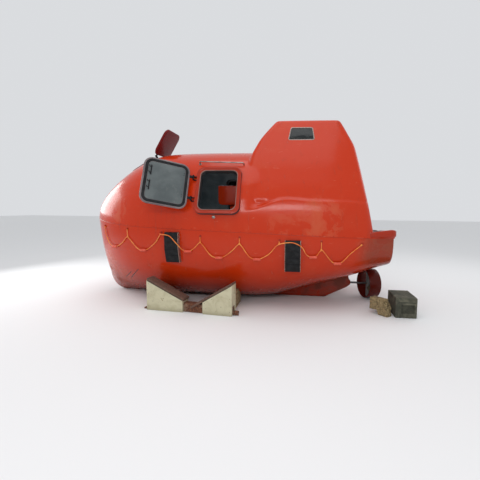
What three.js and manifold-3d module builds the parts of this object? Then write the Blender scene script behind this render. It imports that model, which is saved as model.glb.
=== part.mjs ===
// Enclosed lifeboat of the five metre class, standing on its keel between two chock stands.
// Millimetres. +Z up, bow towards -X, port side towards -Y.
// The origin is on the floor, in the middle of the keel's flat underside.
import * as THREE from 'three';
import { mergeVertices } from 'three/addons/utils/BufferGeometryUtils.js';
import Module from 'manifold-3d';

const wasm = await Module();
wasm.setup();

// Gap between pieces that touch
const SEAT = 0.3;

// Hull
const STEM_X = -2385;
const STERN_X = 2520;
const ENTRANCE_X = -900;
const HALF_BEAM = 1100;
const KEEL_HALF = 32;
const STEM_RAKE = 45;
const RAKE_FOOT_Z = 360;
const RAKE_TOP_Z = 1357;
const FOREFOOT_LENGTH = 320;
const FOREFOOT_HEIGHT = 380;
const HULL_WALL = 45;
const SEAM_GAP = 0.5;

// Canopy and tower
const CANOPY_WALL = 32;
const CANOPY_END_X = 2235;
const CROWN_END_X = 900;
const SHOULDER_START_X = 330;
const LEDGE_RISE = 26;
const LEDGE_TUCK = 8;
const END_LEAN = 0.2;
const END_FOOT_Z = 1163;
const DECK_CROWN_Z = 1166;
const DECK_EDGE_Z = 1132;

// Lofts are cut into this many pieces round a section
const GIRTH_STEPS = 9;
const CROWN_STEPS = 12;
const CREASE_STEP = 3;

// Hatches
const LID_GAP = 5.5;
const PIN_RADIUS = 6;
const PIN_CLEARANCE = 0.5;
const KNUCKLE_RADIUS = 12;
const KNUCKLE_HALF = 20;
const CHEEK_GAP = 1;
const CHEEK_THICK = 10;

const COLOURS = {
  orange: { color: 0xc8401f, roughness: 0.35, metalness: 0 },
  darkRed: { color: 0x7a2320, roughness: 0.5, metalness: 0 },
  grey: { color: 0x7b8080, roughness: 0.7, metalness: 0 },
  rubber: { color: 0x1d2023, roughness: 0.8, metalness: 0 },
  steel: { color: 0x8d9092, roughness: 0.4, metalness: 0.8 },
  bronze: { color: 0x8c7446, roughness: 0.45, metalness: 0.8 },
  glass: { color: 0x2a3136, roughness: 0.1, metalness: 0 },
  rope: { color: 0xe0702f, roughness: 0.9, metalness: 0 },
  cream: { color: 0xb9b494, roughness: 0.8, metalness: 0 },
  rust: { color: 0x5c4038, roughness: 0.9, metalness: 0.2 },
  concrete: { color: 0x6b6a5c, roughness: 0.95, metalness: 0 },
  wood: { color: 0x9a8358, roughness: 0.9, metalness: 0 },
};

const group = new THREE.Group();
const vec = (x, y, z) => new THREE.Vector3(x, y, z);
const radians = THREE.MathUtils.degToRad;
const clamp = THREE.MathUtils.clamp;

// A smooth value between the rows of a table, by one of its columns
function along(table, column, at, key = 'x') {
  const last = table.length - 1;
  if (at <= table[0][key]) return table[0][column];
  if (at >= table[last][key]) return table[last][column];
  let i = 0;
  while (table[i + 1][key] < at) i += 1;
  const before = table[Math.max(i - 1, 0)];
  const low = table[i];
  const high = table[i + 1];
  const after = table[Math.min(i + 2, last)];
  const span = high[key] - low[key];
  const t = (at - low[key]) / span;
  const slopeLow = span * (high[column] - before[column]) / (high[key] - before[key]);
  const slopeHigh = span * (after[column] - low[column]) / (after[key] - low[key]);
  const t2 = t * t;
  const t3 = t2 * t;
  return (2 * t3 - 3 * t2 + 1) * low[column] + (t3 - 2 * t2 + t) * slopeLow
    + (3 * t2 - 2 * t3) * high[column] + (t3 - t2) * slopeHigh;
}

// Keel: underside of the hull on the centreline. Beam: share of the half beam.
// Flat, rise, wall and turn place the two inner control points of each section's curve.
const HULL_ROWS = [
  { x: -2385, beam: 1.00, sheer: 1357, flat: 0.40, rise: 0.20, wall: 0.92, turn: 0.50 },
  { x: -1900, beam: 1.00, sheer: 1288, flat: 0.46, rise: 0.12, wall: 0.95, turn: 0.44 },
  { x: -1400, beam: 1.00, sheer: 1244, flat: 0.54, rise: 0.10, wall: 0.98, turn: 0.38 },
  { x: -800, beam: 1.00, sheer: 1218, flat: 0.62, rise: 0.09, wall: 0.99, turn: 0.34 },
  { x: 0, beam: 1.00, sheer: 1188, flat: 0.66, rise: 0.09, wall: 1.00, turn: 0.32 },
  { x: 900, beam: 0.995, sheer: 1162, flat: 0.66, rise: 0.10, wall: 1.00, turn: 0.34 },
  { x: 1600, beam: 0.955, sheer: 1136, flat: 0.68, rise: 0.11, wall: 1.00, turn: 0.36 },
  { x: 2150, beam: 0.87, sheer: 1122, flat: 0.74, rise: 0.10, wall: 1.00, turn: 0.36 },
  { x: 2520, beam: 0.78, sheer: 1118, flat: 0.90, rise: 0.06, wall: 1.00, turn: 0.24 },
];
const KEEL_RISE = [
  { x: 450, keel: 0 }, { x: 750, keel: 40 }, { x: 1070, keel: 135 }, { x: 1500, keel: 262 },
  { x: 2000, keel: 412 }, { x: 2300, keel: 548 }, { x: 2450, keel: 612 }, { x: 2520, keel: 640 },
];
const CROWN_ROWS = [
  { x: -2430, crown: 1364 }, { x: -2412, crown: 1520 }, { x: -2340, crown: 1650 },
  { x: -2200, crown: 1806 }, { x: -2000, crown: 1985 }, { x: -1750, crown: 2165 },
  { x: -1500, crown: 2310 }, { x: -1280, crown: 2396 }, { x: -1000, crown: 2444 },
  { x: -500, crown: 2464 }, { x: 100, crown: 2466 }, { x: 900, crown: 2462 },
];
// Height of the crease between the canopy's bulging side and the tower's flank
const CREASE_ROWS = [
  { x: 330, crease: 1478 }, { x: 464, crease: 1518 }, { x: 897, crease: 1664 },
  { x: 1315, crease: 1646 }, { x: 1800, crease: 1638 }, { x: 2235, crease: 1625 },
];
const TOWER_ROWS = [
  { z: 1600, front: 330, aft: 2146, half: 990, corner: 90 },
  { z: 1670, front: 335, aft: 2132, half: 1000, corner: 90 },
  { z: 2084, front: 350, aft: 2050, half: 833, corner: 90 },
  { z: 2331, front: 385, aft: 1996, half: 733, corner: 85 },
  { z: 2499, front: 460, aft: 1952, half: 665, corner: 80 },
  { z: 2639, front: 540, aft: 1880, half: 608, corner: 75 },
  { z: 2882, front: 740, aft: 1748, half: 510, corner: 70 },
  { z: 2903, front: 770, aft: 1718, half: 480, corner: 50 },
];

function halfBeam(x) {
  const share = clamp((ENTRANCE_X - x) / (ENTRANCE_X - STEM_X), 0, 1);
  const bow = Math.sqrt(Math.max(1 - share ** 2.15, 0));
  return Math.max(HALF_BEAM * along(HULL_ROWS, 'beam', x) * bow, KEEL_HALF);
}

function keelHeight(x) {
  const into = clamp((STEM_X + FOREFOOT_LENGTH - x) / FOREFOOT_LENGTH, 0, 1);
  if (into > 0) return FOREFOOT_HEIGHT * (1 - Math.sqrt(1 - into * into));
  return along(KEEL_RISE, 'keel', x);
}

const sheerHeight = (x) => along(HULL_ROWS, 'sheer', x);

// How far the raked stem carries a point forward
function rake(x, z) {
  const near = clamp((ENTRANCE_X - x) / (ENTRANCE_X - STEM_X), 0, 1) ** 1.5;
  const height = clamp((z - RAKE_FOOT_Z) / (RAKE_TOP_Z - RAKE_FOOT_Z), 0, 1.2);
  return -STEM_RAKE * near * height;
}

const bezier = (t, a, b, c, d) => (1 - t) ** 3 * a + 3 * t * (1 - t) ** 2 * b
  + 3 * t * t * (1 - t) * c + t ** 3 * d;

// A point of the hull's skin: t is 0 at the keel and 1 at the sheer, inset is the depth below the skin
function hullPoint(x, t, inset = 0) {
  const foot = keelHeight(x) + inset * 1.3;
  const top = sheerHeight(x);
  const beam = Math.max(halfBeam(x) - inset, KEEL_HALF * 0.6);
  const height = Math.max(top - foot, 60);
  const keel = Math.min(KEEL_HALF, beam * 0.9);
  const y = bezier(t, keel, keel + along(HULL_ROWS, 'flat', x) * (beam - keel),
    beam * along(HULL_ROWS, 'wall', x), beam);
  const z = bezier(t, foot, foot + along(HULL_ROWS, 'rise', x) * height,
    foot + along(HULL_ROWS, 'turn', x) * height, top);
  return vec(x + rake(x, z), y, z);
}

// Half breadth of the hull's skin at a place on its side
function hullSide(x, z) {
  let station = x;
  for (let i = 0; i < 6; i += 1) station = x - rake(station, z);
  let low = 0;
  let high = 1;
  for (let i = 0; i < 20; i += 1) {
    const middle = (low + high) / 2;
    if (hullPoint(station, middle).z < z) low = middle;
    else high = middle;
  }
  return hullPoint(station, low).y;
}

const smooth = (x, low, high) => THREE.MathUtils.smoothstep(x, low, high);

// Half breadth of the tower at a place on its side, before its corners are rounded
function towerSide(x, z) {
  const narrowing = Math.min(halfBeam(x) / halfBeam(CROWN_END_X), 1);
  return along(TOWER_ROWS, 'half', z, 'z') * narrowing;
}

// A point of the canopy's skin: step counts from the seam up to the crown
function canopyPoint(x, step, inset = 0) {
  const seam = sheerHeight(x) + SEAM_GAP;
  const bowX = x + rake(x, seam);
  const beam = Math.max(halfBeam(x) - inset, 12);
  const height = Math.max(along(CROWN_ROWS, 'crown', bowX) - seam - inset, 8);
  const power = 2 / (2.05 + 0.3 * clamp((x - STEM_X) / 1200, 0, 1));
  const creaseHeight = along(CREASE_ROWS, 'crease', x);
  const even = (Math.PI / 2) * (CREASE_STEP / CROWN_STEPS);
  const exact = Math.asin(clamp((creaseHeight - seam) / height, 0, 1) ** (1 / power));
  const crease = even + (exact - even) * smooth(x, 0, SHOULDER_START_X);
  const over = (step - CREASE_STEP) / (CROWN_STEPS - CREASE_STEP);
  const angle = over <= 0 ? crease * (step / CREASE_STEP) : crease + (Math.PI / 2 - crease) * over;
  const tucked = smooth(x, SHOULDER_START_X, 620);
  let y = beam * Math.max(Math.cos(angle), 0) ** power;
  let z = seam + height * Math.sin(angle) ** power;
  if (step > CREASE_STEP && x > SHOULDER_START_X) {
    if (step === CREASE_STEP + 1 || x > CROWN_END_X) {
      z += (creaseHeight + LEDGE_RISE - z) * (x > CROWN_END_X ? 1 : tucked);
    }
    y -= tucked * Math.max(y - towerSide(x, z) + LEDGE_TUCK + inset, 0);
  }
  const corner = clamp((x - (CANOPY_END_X - 120)) / 120, 0, 1);
  y *= 1 - 0.09 * (1 - Math.sqrt(1 - corner * corner));
  const lean = END_LEAN * (z - END_FOOT_Z) * smooth(x, 1800, CANOPY_END_X);
  return vec(bowX - lean, y, z);
}

// Solid skin over rings that all have the same number of points.
// The second half of each ring is split the other way, so both sides of the boat match.
function loft(rings) {
  const count = rings[0].length;
  const positions = [];
  const push = (...points) => points.forEach((p) => positions.push(p.x, p.y, p.z));
  for (let r = 0; r + 1 < rings.length; r += 1) {
    for (let i = 0; i < count; i += 1) {
      const j = (i + 1) % count;
      if (i > count / 2 - 1) {
        push(rings[r][i], rings[r + 1][i], rings[r][j]);
        push(rings[r][j], rings[r + 1][i], rings[r + 1][j]);
      } else {
        push(rings[r][i], rings[r + 1][i], rings[r + 1][j]);
        push(rings[r][i], rings[r + 1][j], rings[r][j]);
      }
    }
  }
  const middle = (ring) => ring.reduce((sum, p) => sum.add(p), vec(0, 0, 0)).divideScalar(count);
  const first = rings[0];
  const last = rings[rings.length - 1];
  const firstMiddle = middle(first);
  const lastMiddle = middle(last);
  for (let i = 0; i < count; i += 1) {
    const j = (i + 1) % count;
    push(firstMiddle, first[i], first[j]);
    push(lastMiddle, last[j], last[i]);
  }
  const geometry = new THREE.BufferGeometry();
  geometry.setAttribute('position', new THREE.Float32BufferAttribute(positions, 3));
  return geometry;
}

function toSolid(geometry, matrix) {
  const bare = geometry.clone();
  bare.deleteAttribute('normal');
  bare.deleteAttribute('uv');
  if (matrix) bare.applyMatrix4(matrix);
  const merged = mergeVertices(bare, 0.001);
  const solid = new wasm.Manifold(new wasm.Mesh({
    numProp: 3,
    vertProperties: Float32Array.from(merged.attributes.position.array),
    triVerts: Uint32Array.from(merged.index.array),
  }));
  if (solid.volume() > 0) return solid;
  const turned = merged.index.array.slice();
  for (let i = 0; i < turned.length; i += 3) [turned[i], turned[i + 1]] = [turned[i + 1], turned[i]];
  return new wasm.Manifold(new wasm.Mesh({
    numProp: 3,
    vertProperties: Float32Array.from(merged.attributes.position.array),
    triVerts: Uint32Array.from(turned),
  }));
}

function toGeometry(solid) {
  const mesh = solid.getMesh();
  const geometry = new THREE.BufferGeometry();
  geometry.setAttribute('position', new THREE.BufferAttribute(mesh.vertProperties, 3));
  geometry.setIndex(new THREE.BufferAttribute(mesh.triVerts, 1));
  return geometry;
}

const join = (first, ...rest) => rest.reduce((sum, solid) => sum.add(solid), first);
const cut = (first, ...rest) => rest.reduce((sum, solid) => sum.subtract(solid), first);

const largest = (solid) => solid.decompose().reduce((a, b) => (b.volume() > a.volume() ? b : a));

function addMesh(name, geometry, colour, parent = group) {
  const mesh = new THREE.Mesh(geometry, new THREE.MeshStandardMaterial(COLOURS[colour]));
  mesh.name = name;
  parent.add(mesh);
  return mesh;
}

const addSolid = (name, solid, colour, parent) => addMesh(name, toGeometry(solid), colour, parent);

function box(low, high) {
  const size = high.map((value, i) => value - low[i]);
  const geometry = new THREE.BoxGeometry(...size);
  geometry.translate(...low.map((value, i) => value + size[i] / 2));
  return geometry;
}

const boxSolid = (low, high, matrix) => toSolid(box(low, high), matrix);

// A cylinder along one axis: x, y or z
function rod(axis, radius, low, high, a, b, sides = 16) {
  const geometry = new THREE.CylinderGeometry(radius, radius, high - low, sides);
  geometry.rotateX(Math.PI / 2);
  geometry.translate(0, 0, (low + high) / 2);
  if (axis === 'x') geometry.applyMatrix4(new THREE.Matrix4().makeBasis(vec(0, 1, 0), vec(0, 0, 1), vec(1, 0, 0)));
  if (axis === 'y') geometry.applyMatrix4(new THREE.Matrix4().makeBasis(vec(0, 0, 1), vec(1, 0, 0), vec(0, 1, 0)));
  const place = { x: [0, a, b], y: [a, 0, b], z: [a, b, 0] }[axis];
  geometry.translate(...place);
  return geometry;
}

function roundedRectangle(width, height, radius) {
  const x = width / 2;
  const y = height / 2;
  const shape = new THREE.Shape();
  shape.moveTo(-x + radius, -y);
  shape.lineTo(x - radius, -y);
  shape.absarc(x - radius, -y + radius, radius, -Math.PI / 2, 0, false);
  shape.lineTo(x, y - radius);
  shape.absarc(x - radius, y - radius, radius, 0, Math.PI / 2, false);
  shape.lineTo(-x + radius, y);
  shape.absarc(-x + radius, y - radius, radius, Math.PI / 2, Math.PI, false);
  shape.lineTo(-x, -y + radius);
  shape.absarc(-x + radius, -y + radius, radius, Math.PI, Math.PI * 1.5, false);
  return shape;
}

function polygon(points) {
  const shape = new THREE.Shape();
  points.forEach(([x, y], i) => (i === 0 ? shape.moveTo(x, y) : shape.lineTo(x, y)));
  return shape;
}

// A flat piece of a given outline, from one depth to another along its own z
function slab(shape, low, high, holes = [], curveSegments = 4) {
  const outline = shape.clone();
  holes.forEach((hole) => outline.holes.push(hole));
  const geometry = new THREE.ExtrudeGeometry(outline, { depth: high - low, bevelEnabled: false, curveSegments });
  geometry.translate(0, 0, low);
  return geometry;
}

const frameOf = (origin, xAxis, yAxis) => {
  const zAxis = xAxis.clone().cross(yAxis);
  return new THREE.Matrix4().makeBasis(xAxis, yAxis, zAxis).setPosition(origin);
};

const stationsBetween = (low, high) => STATIONS.filter((x) => x > low && x < high);
const STATIONS = [
  -2385, -2376, -2358, -2328, -2280, -2210, -2115, -2000, -1860, -1700, -1530, -1350, -1150, -900,
  -600, -300, 0, 300, 600, 900, 1150, 1400, 1650, 1900, 2100, 2250, 2360, 2450, 2500, 2520,
];

// Hull
function hullRing(x, inset, lid) {
  const points = [];
  for (let i = GIRTH_STEPS; i >= 0; i -= 1) points.push(hullPoint(x, i / GIRTH_STEPS, inset));
  const port = points.map((p) => vec(p.x, -p.y, p.z));
  const ring = [...port, ...points.reverse()];
  if (!lid) return ring;
  const top = ring[ring.length - 1];
  return [vec(top.x, -top.y, top.z + lid), ...ring, vec(top.x, top.y, top.z + lid)];
}

const hullSkin = toSolid(loft(STATIONS.map((x) => hullRing(x, 0, 0))));
const hullHollow = toSolid(loft(stationsBetween(-2300, 2490).map((x) => hullRing(x, HULL_WALL, 90))));

const SKEG = { start: 420, foot: 1600, heel: 1990, heelZ: 195, endX: 2018, half: 46, shaftZ: 266 };
const skegOutline = polygon([
  [SKEG.start, 1], [SKEG.foot, 1], [SKEG.heel, SKEG.heelZ], [SKEG.endX, SKEG.shaftZ - 45],
  [SKEG.endX, SKEG.shaftZ + 45], [SKEG.heel, 430], [SKEG.heel - 60, 480], [SKEG.start + 120, 120],
]);
const skegFrame = frameOf(vec(0, 0, 0), vec(1, 0, 0), vec(0, 0, 1));
const skeg = toSolid(slab(skegOutline, -SKEG.half, SKEG.half), skegFrame);

// Canopy, from the stem to the tower's aft face
const CANOPY_STATIONS = [
  ...STATIONS.filter((x) => x <= CROWN_END_X),
  365, 430, 500, 560, 680, 760, 920, 1150, 1400, 1650, 1880, 2040, 2130, 2190, 2222, CANOPY_END_X,
].sort((a, b) => a - b);

function canopyRing(x, inset, foot) {
  const points = [];
  for (let i = 0; i <= CROWN_STEPS; i += 1) points.push(canopyPoint(x, i, inset));
  const port = points.map((p) => vec(p.x, -p.y, p.z));
  const starboard = points.slice(0, -1).reverse().map((p) => vec(p.x, p.y, p.z));
  const ring = [...port, ...starboard];
  if (!foot) return ring;
  const end = ring[ring.length - 1];
  return [vec(end.x, -end.y, end.z - foot), ...ring, vec(end.x, end.y, end.z - foot)];
}

const canopySkin = toSolid(loft(CANOPY_STATIONS.map((x) => canopyRing(x, 0, 0))));
const canopyHollow = toSolid(loft(
  CANOPY_STATIONS.filter((x) => x > -2290 && x < CANOPY_END_X - CANOPY_WALL)
    .map((x) => canopyRing(x, CANOPY_WALL, 90)),
));

// Tower: one rounded outline at a given height
const TOWER_FLANK_STEPS = 5;
const TOWER_CORNER_STEPS = 4;

function towerRing(z, inset = 0, row = z) {
  const front = along(TOWER_ROWS, 'front', row, 'z') + inset;
  const aft = along(TOWER_ROWS, 'aft', row, 'z') + END_LEAN * (row - z) - inset;
  const corner = Math.max(along(TOWER_ROWS, 'corner', row, 'z') - inset, 20);
  const side = (x) => towerSide(x, row) - inset;
  const bend = (a, b, c) => {
    for (let i = 0; i <= TOWER_CORNER_STEPS; i += 1) {
      const t = i / TOWER_CORNER_STEPS;
      const place = (key) => (1 - t) ** 2 * a[key] + 2 * t * (1 - t) * b[key] + t * t * c[key];
      half.push(vec(place('x'), place('y'), z));
    }
  };
  const half = [];
  bend(vec(front, side(front) - corner, z), vec(front, side(front), z), vec(front + corner, side(front + corner), z));
  for (let i = 1; i < TOWER_FLANK_STEPS; i += 1) {
    const x = front + corner + (aft - front - 2 * corner) * (i / TOWER_FLANK_STEPS);
    half.push(vec(x, side(x), z));
  }
  bend(vec(aft - corner, side(aft - corner), z), vec(aft, side(aft), z), vec(aft, side(aft) - corner, z));
  const port = half.map((p) => vec(p.x, -p.y, p.z));
  return [...port, ...half.reverse()];
}

const towerTop = TOWER_ROWS[TOWER_ROWS.length - 1].z;
const towerSkin = toSolid(loft(TOWER_ROWS.map((row) => towerRing(row.z))));
const towerHollow = toSolid(loft([
  towerRing(1100, CANOPY_WALL, 1670),
  ...TOWER_ROWS.filter((row) => row.z > 1600 && row.z < towerTop - CANOPY_WALL)
    .map((row) => towerRing(row.z, CANOPY_WALL)),
  towerRing(towerTop - CANOPY_WALL, CANOPY_WALL),
]));

// After deck: crowned, on the hull's top edge
const DECK_STATIONS = [2120, 2200, 2300, 2400, 2480, 2520, 2534];
const DECK_SHARES = [-1, -0.8, -0.5, 0, 0.5, 0.8, 1];

function deckRing(x) {
  const beam = halfBeam(x) - (x > STERN_X ? 10 : 0);
  const low = sheerHeight(x) + SEAM_GAP;
  const rise = DECK_CROWN_Z - DECK_EDGE_Z;
  const top = DECK_SHARES.map((share) => vec(x, share * beam, DECK_EDGE_Z + rise * (1 - share * share)));
  return [vec(x, -beam, low), ...top, vec(x, beam, low)];
}

const afterDeck = toSolid(loft(DECK_STATIONS.map(deckRing)));

// Raised rim round the port quarter, running out along the transom
const RIM_PATH = [
  { x: 2140, y: -935, top: 1200, swell: 0 }, { x: 2215, y: -935, top: 1214, swell: 0.5 },
  { x: 2320, y: -912, top: 1226, swell: 1 }, { x: 2420, y: -888, top: 1238, swell: 1 },
  { x: 2480, y: -870, top: 1244, swell: 1 }, { x: 2516, y: -845, top: 1240, swell: 1 },
  { x: 2534, y: -805, top: 1230, swell: 1 }, { x: 2536, y: -700, top: 1224, swell: 1 },
  { x: 2536, y: -450, top: 1208, swell: 1 }, { x: 2536, y: -150, top: 1190, swell: 0.9 },
  { x: 2536, y: 100, top: 1176, swell: 0.8 }, { x: 2534, y: 320, top: 1150, swell: 0.6 },
];
const RIM_HALF = 24;
const RIM_LIP_Z = 1147;

function rimRing(point, i) {
  const before = RIM_PATH[Math.max(i - 1, 0)];
  const after = RIM_PATH[Math.min(i + 1, RIM_PATH.length - 1)];
  const heading = vec(after.x - before.x, after.y - before.y, 0).normalize();
  const outward = vec(heading.y, -heading.x, 0);
  const foot = sheerHeight(point.x) + SEAM_GAP;
  const lip = Math.min(RIM_LIP_Z, point.top - 18);
  const swell = RIM_HALF * point.swell;
  return [
    [-RIM_HALF, foot], [0, foot], [swell, lip], [swell + 2, point.top - 14],
    [swell * 0.5, point.top], [-RIM_HALF * 0.5, point.top], [-RIM_HALF, point.top - 12],
  ].map(([out, z]) => vec(point.x + outward.x * out, point.y + outward.y * out, z));
}

const rim = toSolid(loft(RIM_PATH.map(rimRing)));

// Hatches. Each has its own frame: x away from the hinge, y along it, z outwards.
const lean = (degrees) => [Math.cos(radians(degrees)), Math.sin(radians(degrees))];
const SIDE_TILT = 20.6;
const BOW_SLOPE = 30.5;
const DOOR_TILT = 11.3;
const [sideCos, sideSin] = lean(SIDE_TILT);
const [bowCos, bowSin] = lean(BOW_SLOPE);
const [doorCos, doorSin] = lean(DOOR_TILT);
const DOOR_Z = 1548;
const DOOR_X = CANOPY_END_X - END_LEAN * (DOOR_Z - END_FOOT_Z);

const HATCHES = {
  side: {
    frame: frameOf(vec(-46, -1026, 1797), vec(1, 0, 0), vec(0, sideSin, sideCos)),
    width: 676, height: 736, corner: 105, openWidth: 562, openHeight: 604, openCorner: 85,
    lidWidth: 652, lidHeight: 702, lidCorner: 100, hingeX: -380,
    depth: 100, rim: 12, thick: 45, hinges: [185, -150],
  },
  bow: {
    frame: frameOf(vec(-1586, 0, 2256), vec(-bowCos, 0, -bowSin), vec(0, -1, 0)),
    width: 470, height: 590, corner: 80, openWidth: 370, openHeight: 490, openCorner: 65,
    lidWidth: 480, lidHeight: 600, lidCorner: 85, hingeX: -268,
    depth: 100, rim: 8, thick: 42, hinges: [180, -180],
  },
  door: {
    frame: frameOf(vec(DOOR_X, 0, DOOR_Z), vec(0, -1, 0), vec(doorSin, 0, -doorCos)),
    width: 640, height: 680, corner: 90, openWidth: 540, openHeight: 580, openCorner: 70,
    lidWidth: 640, lidHeight: 680, lidCorner: 90, hingeX: -348,
    depth: 45, rim: 26, thick: 40, hinges: [220, -220],
  },
  roof: {
    frame: frameOf(vec(1245, 0, towerTop), vec(1, 0, 0), vec(0, 1, 0)),
    width: 520, height: 520, corner: 70, openWidth: 440, openHeight: 440, openCorner: 55,
    lidWidth: 520, lidHeight: 520, lidCorner: 70, hingeX: -284,
    depth: 50, rim: 8, thick: 22, hinges: [150, -150],
  },
};

function hatchPlaces(h) {
  const lidLow = h.rim + LID_GAP;
  return { axisX: h.hingeX, axisZ: lidLow + h.thick / 2, lidLow, edgeX: -h.width / 2 };
}

const coaming = (h) => toSolid(slab(roundedRectangle(h.width, h.height, h.corner), -h.depth, h.rim), h.frame);
const hatchOpening = (h) => toSolid(
  slab(roundedRectangle(h.openWidth, h.openHeight, h.openCorner), -h.depth - 90, h.rim + 90),
  h.frame,
);

// Two cheeks and a pin at each hinge, fixed to the coaming
function hingeBrackets(h) {
  const { axisX, axisZ, edgeX } = hatchPlaces(h);
  const outline = polygon([
    [axisX - 10, axisZ + 10], [axisX + 10, axisZ + 10], [axisX + 10, h.rim - 8], [edgeX + 8, h.rim - 8],
    [edgeX + 8, h.rim - 42], [axisX - 10, h.rim - 42],
  ]);
  const inner = KNUCKLE_HALF + CHEEK_GAP;
  const upright = frameOf(vec(0, 0, 0), vec(1, 0, 0), vec(0, 0, 1));
  const pieces = h.hinges.flatMap((y) => [
    toSolid(slab(outline, -y + inner, -y + inner + CHEEK_THICK), upright),
    toSolid(slab(outline, -y - inner - CHEEK_THICK, -y - inner), upright),
    toSolid(rod('y', PIN_RADIUS, y - inner - 2, y + inner + 2, axisX, axisZ, 12)),
  ]);
  return join(...pieces).transform(h.frame.elements);
}

function lidOutline(h, inset) {
  return roundedRectangle(h.lidWidth - 2 * inset, h.lidHeight - 2 * inset, Math.max(h.lidCorner - inset, 20));
}

// The lid's plate with its knuckles, in the hatch's frame
function lidPlate(h) {
  const { axisX, axisZ, lidLow } = hatchPlaces(h);
  const plate = toSolid(slab(lidOutline(h, 0), lidLow, lidLow + h.thick));
  const arms = h.hinges.flatMap((y) => [
    boxSolid([axisX, y - KNUCKLE_HALF, axisZ - 8], [10 - h.lidWidth / 2, y + KNUCKLE_HALF, axisZ + 8]),
    toSolid(rod('y', KNUCKLE_RADIUS, y - KNUCKLE_HALF, y + KNUCKLE_HALF, axisX, axisZ, 16)),
  ]);
  const bores = h.hinges.map((y) => toSolid(
    rod('y', PIN_RADIUS + PIN_CLEARANCE, y - KNUCKLE_HALF - 1, y + KNUCKLE_HALF + 1, axisX, axisZ, 12),
  ));
  return cut(join(plate, ...arms), ...bores);
}

// Puts a lid's piece in place, turned open about its hinge
function swung(solid, h, degrees) {
  const { axisX, axisZ } = hatchPlaces(h);
  const matrix = h.frame.clone()
    .multiply(new THREE.Matrix4().makeTranslation(axisX, 0, axisZ))
    .multiply(new THREE.Matrix4().makeRotationY(-radians(degrees)))
    .multiply(new THREE.Matrix4().makeTranslation(-axisX, 0, -axisZ));
  return solid.transform(matrix.elements);
}

const SEAL_INSET = 30;
const SEAL_WIDTH = 32;
const LINER_INSET = 68;
const LINER_THICK = 8;

function lidPieces(h) {
  const { lidLow } = hatchPlaces(h);
  const recess = toSolid(slab(lidOutline(h, LINER_INSET), lidLow - 1, lidLow + LINER_THICK + SEAT));
  const sealHole = lidOutline(h, SEAL_INSET + SEAL_WIDTH);
  return {
    shell: cut(lidPlate(h), recess),
    seal: toSolid(slab(lidOutline(h, SEAL_INSET), h.rim + SEAT, lidLow - SEAT, [sealHole])),
    liner: toSolid(slab(lidOutline(h, LINER_INSET + SEAT), lidLow, lidLow + LINER_THICK)),
  };
}

const mirrored = (solid) => solid.mirror([0, 1, 0]);

// Windows: flush panes let into the tower
const PANE_THICK = 8;
const PANE_SINK = 6;
const PANE_PLAY = 1.003;

function flankFrame(x, z) {
  const at = (px, pz) => vec(px, -towerSide(px, pz), pz);
  const xAxis = at(x + 150, z).sub(at(x - 150, z)).normalize();
  const up = at(x, z + 60).sub(at(x, z - 60));
  const yAxis = up.sub(xAxis.clone().multiplyScalar(up.dot(xAxis))).normalize();
  return frameOf(at(x, z), xAxis, yAxis);
}

function endFrame(column, z, sideways) {
  const at = (pz) => vec(along(TOWER_ROWS, column, pz, 'z'), 0, pz);
  const yAxis = at(2850).sub(at(2680)).normalize();
  return frameOf(at(z), vec(0, sideways, 0), yAxis);
}

const sideWindow = polygon([[-196, -102], [190, -102], [162, 102], [-158, 102]]);
const WINDOWS = {
  port: { frame: flankFrame(1155, 2678), outline: sideWindow },
  front: { frame: endFrame('front', 2766, -1), outline: roundedRectangle(620, 180, 24) },
  aft: { frame: endFrame('aft', 2766, 1), outline: roundedRectangle(560, 170, 24) },
};
const paneSolid = (w) => toSolid(slab(w.outline, -PANE_SINK - PANE_THICK, -PANE_SINK), w.frame);

function paneHole(w) {
  const grown = slab(w.outline, -90, 60);
  grown.scale(PANE_PLAY, PANE_PLAY, 1);
  return toSolid(grown, w.frame);
}

const sideHatch = join(coaming(HATCHES.side), hingeBrackets(HATCHES.side));
const centreHatches = [HATCHES.bow, HATCHES.door, HATCHES.roof];
const openings = [
  hatchOpening(HATCHES.side), mirrored(hatchOpening(HATCHES.side)), ...centreHatches.map(hatchOpening),
  paneHole(WINDOWS.port), mirrored(paneHole(WINDOWS.port)), paneHole(WINDOWS.front), paneHole(WINDOWS.aft),
];
const canopyOuter = join(canopySkin, towerSkin, afterDeck, rim);
const canopyWalls = cut(canopyOuter, canopyHollow, towerHollow);
const canopyShell = join(
  cut(join(canopyWalls, sideHatch, mirrored(sideHatch), ...centreHatches.map(coaming)), ...openings),
  ...centreHatches.map(hingeBrackets),
);

addSolid('canopy_shell', canopyShell, 'orange');

// Lids. The bow lid and the port side lid stand open, the others are shut.
const SIDE_OPEN = 150;
const BOW_OPEN = 151;
const sideLid = lidPieces(HATCHES.side);
const LID_COLOURS = { shell: 'orange', seal: 'rubber', liner: 'grey' };
Object.entries(sideLid).forEach(([piece, solid]) => {
  addSolid(`side_lid_port_${piece}`, swung(solid, HATCHES.side, SIDE_OPEN), LID_COLOURS[piece]);
  addSolid(`side_lid_starboard_${piece}`, mirrored(swung(solid, HATCHES.side, 0)), LID_COLOURS[piece]);
});
addSolid('bow_lid', swung(lidPlate(HATCHES.bow), HATCHES.bow, BOW_OPEN), 'darkRed');
addSolid('aft_door', swung(lidPlate(HATCHES.door), HATCHES.door, 0), 'orange');
addSolid('roof_hatch_lid', swung(lidPlate(HATCHES.roof), HATCHES.roof, 0), 'orange');

addSolid('window_port', paneSolid(WINDOWS.port), 'glass');
addSolid('window_starboard', mirrored(paneSolid(WINDOWS.port)), 'glass');
addSolid('window_front', paneSolid(WINDOWS.front), 'glass');
addSolid('window_aft', paneSolid(WINDOWS.aft), 'glass');

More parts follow.
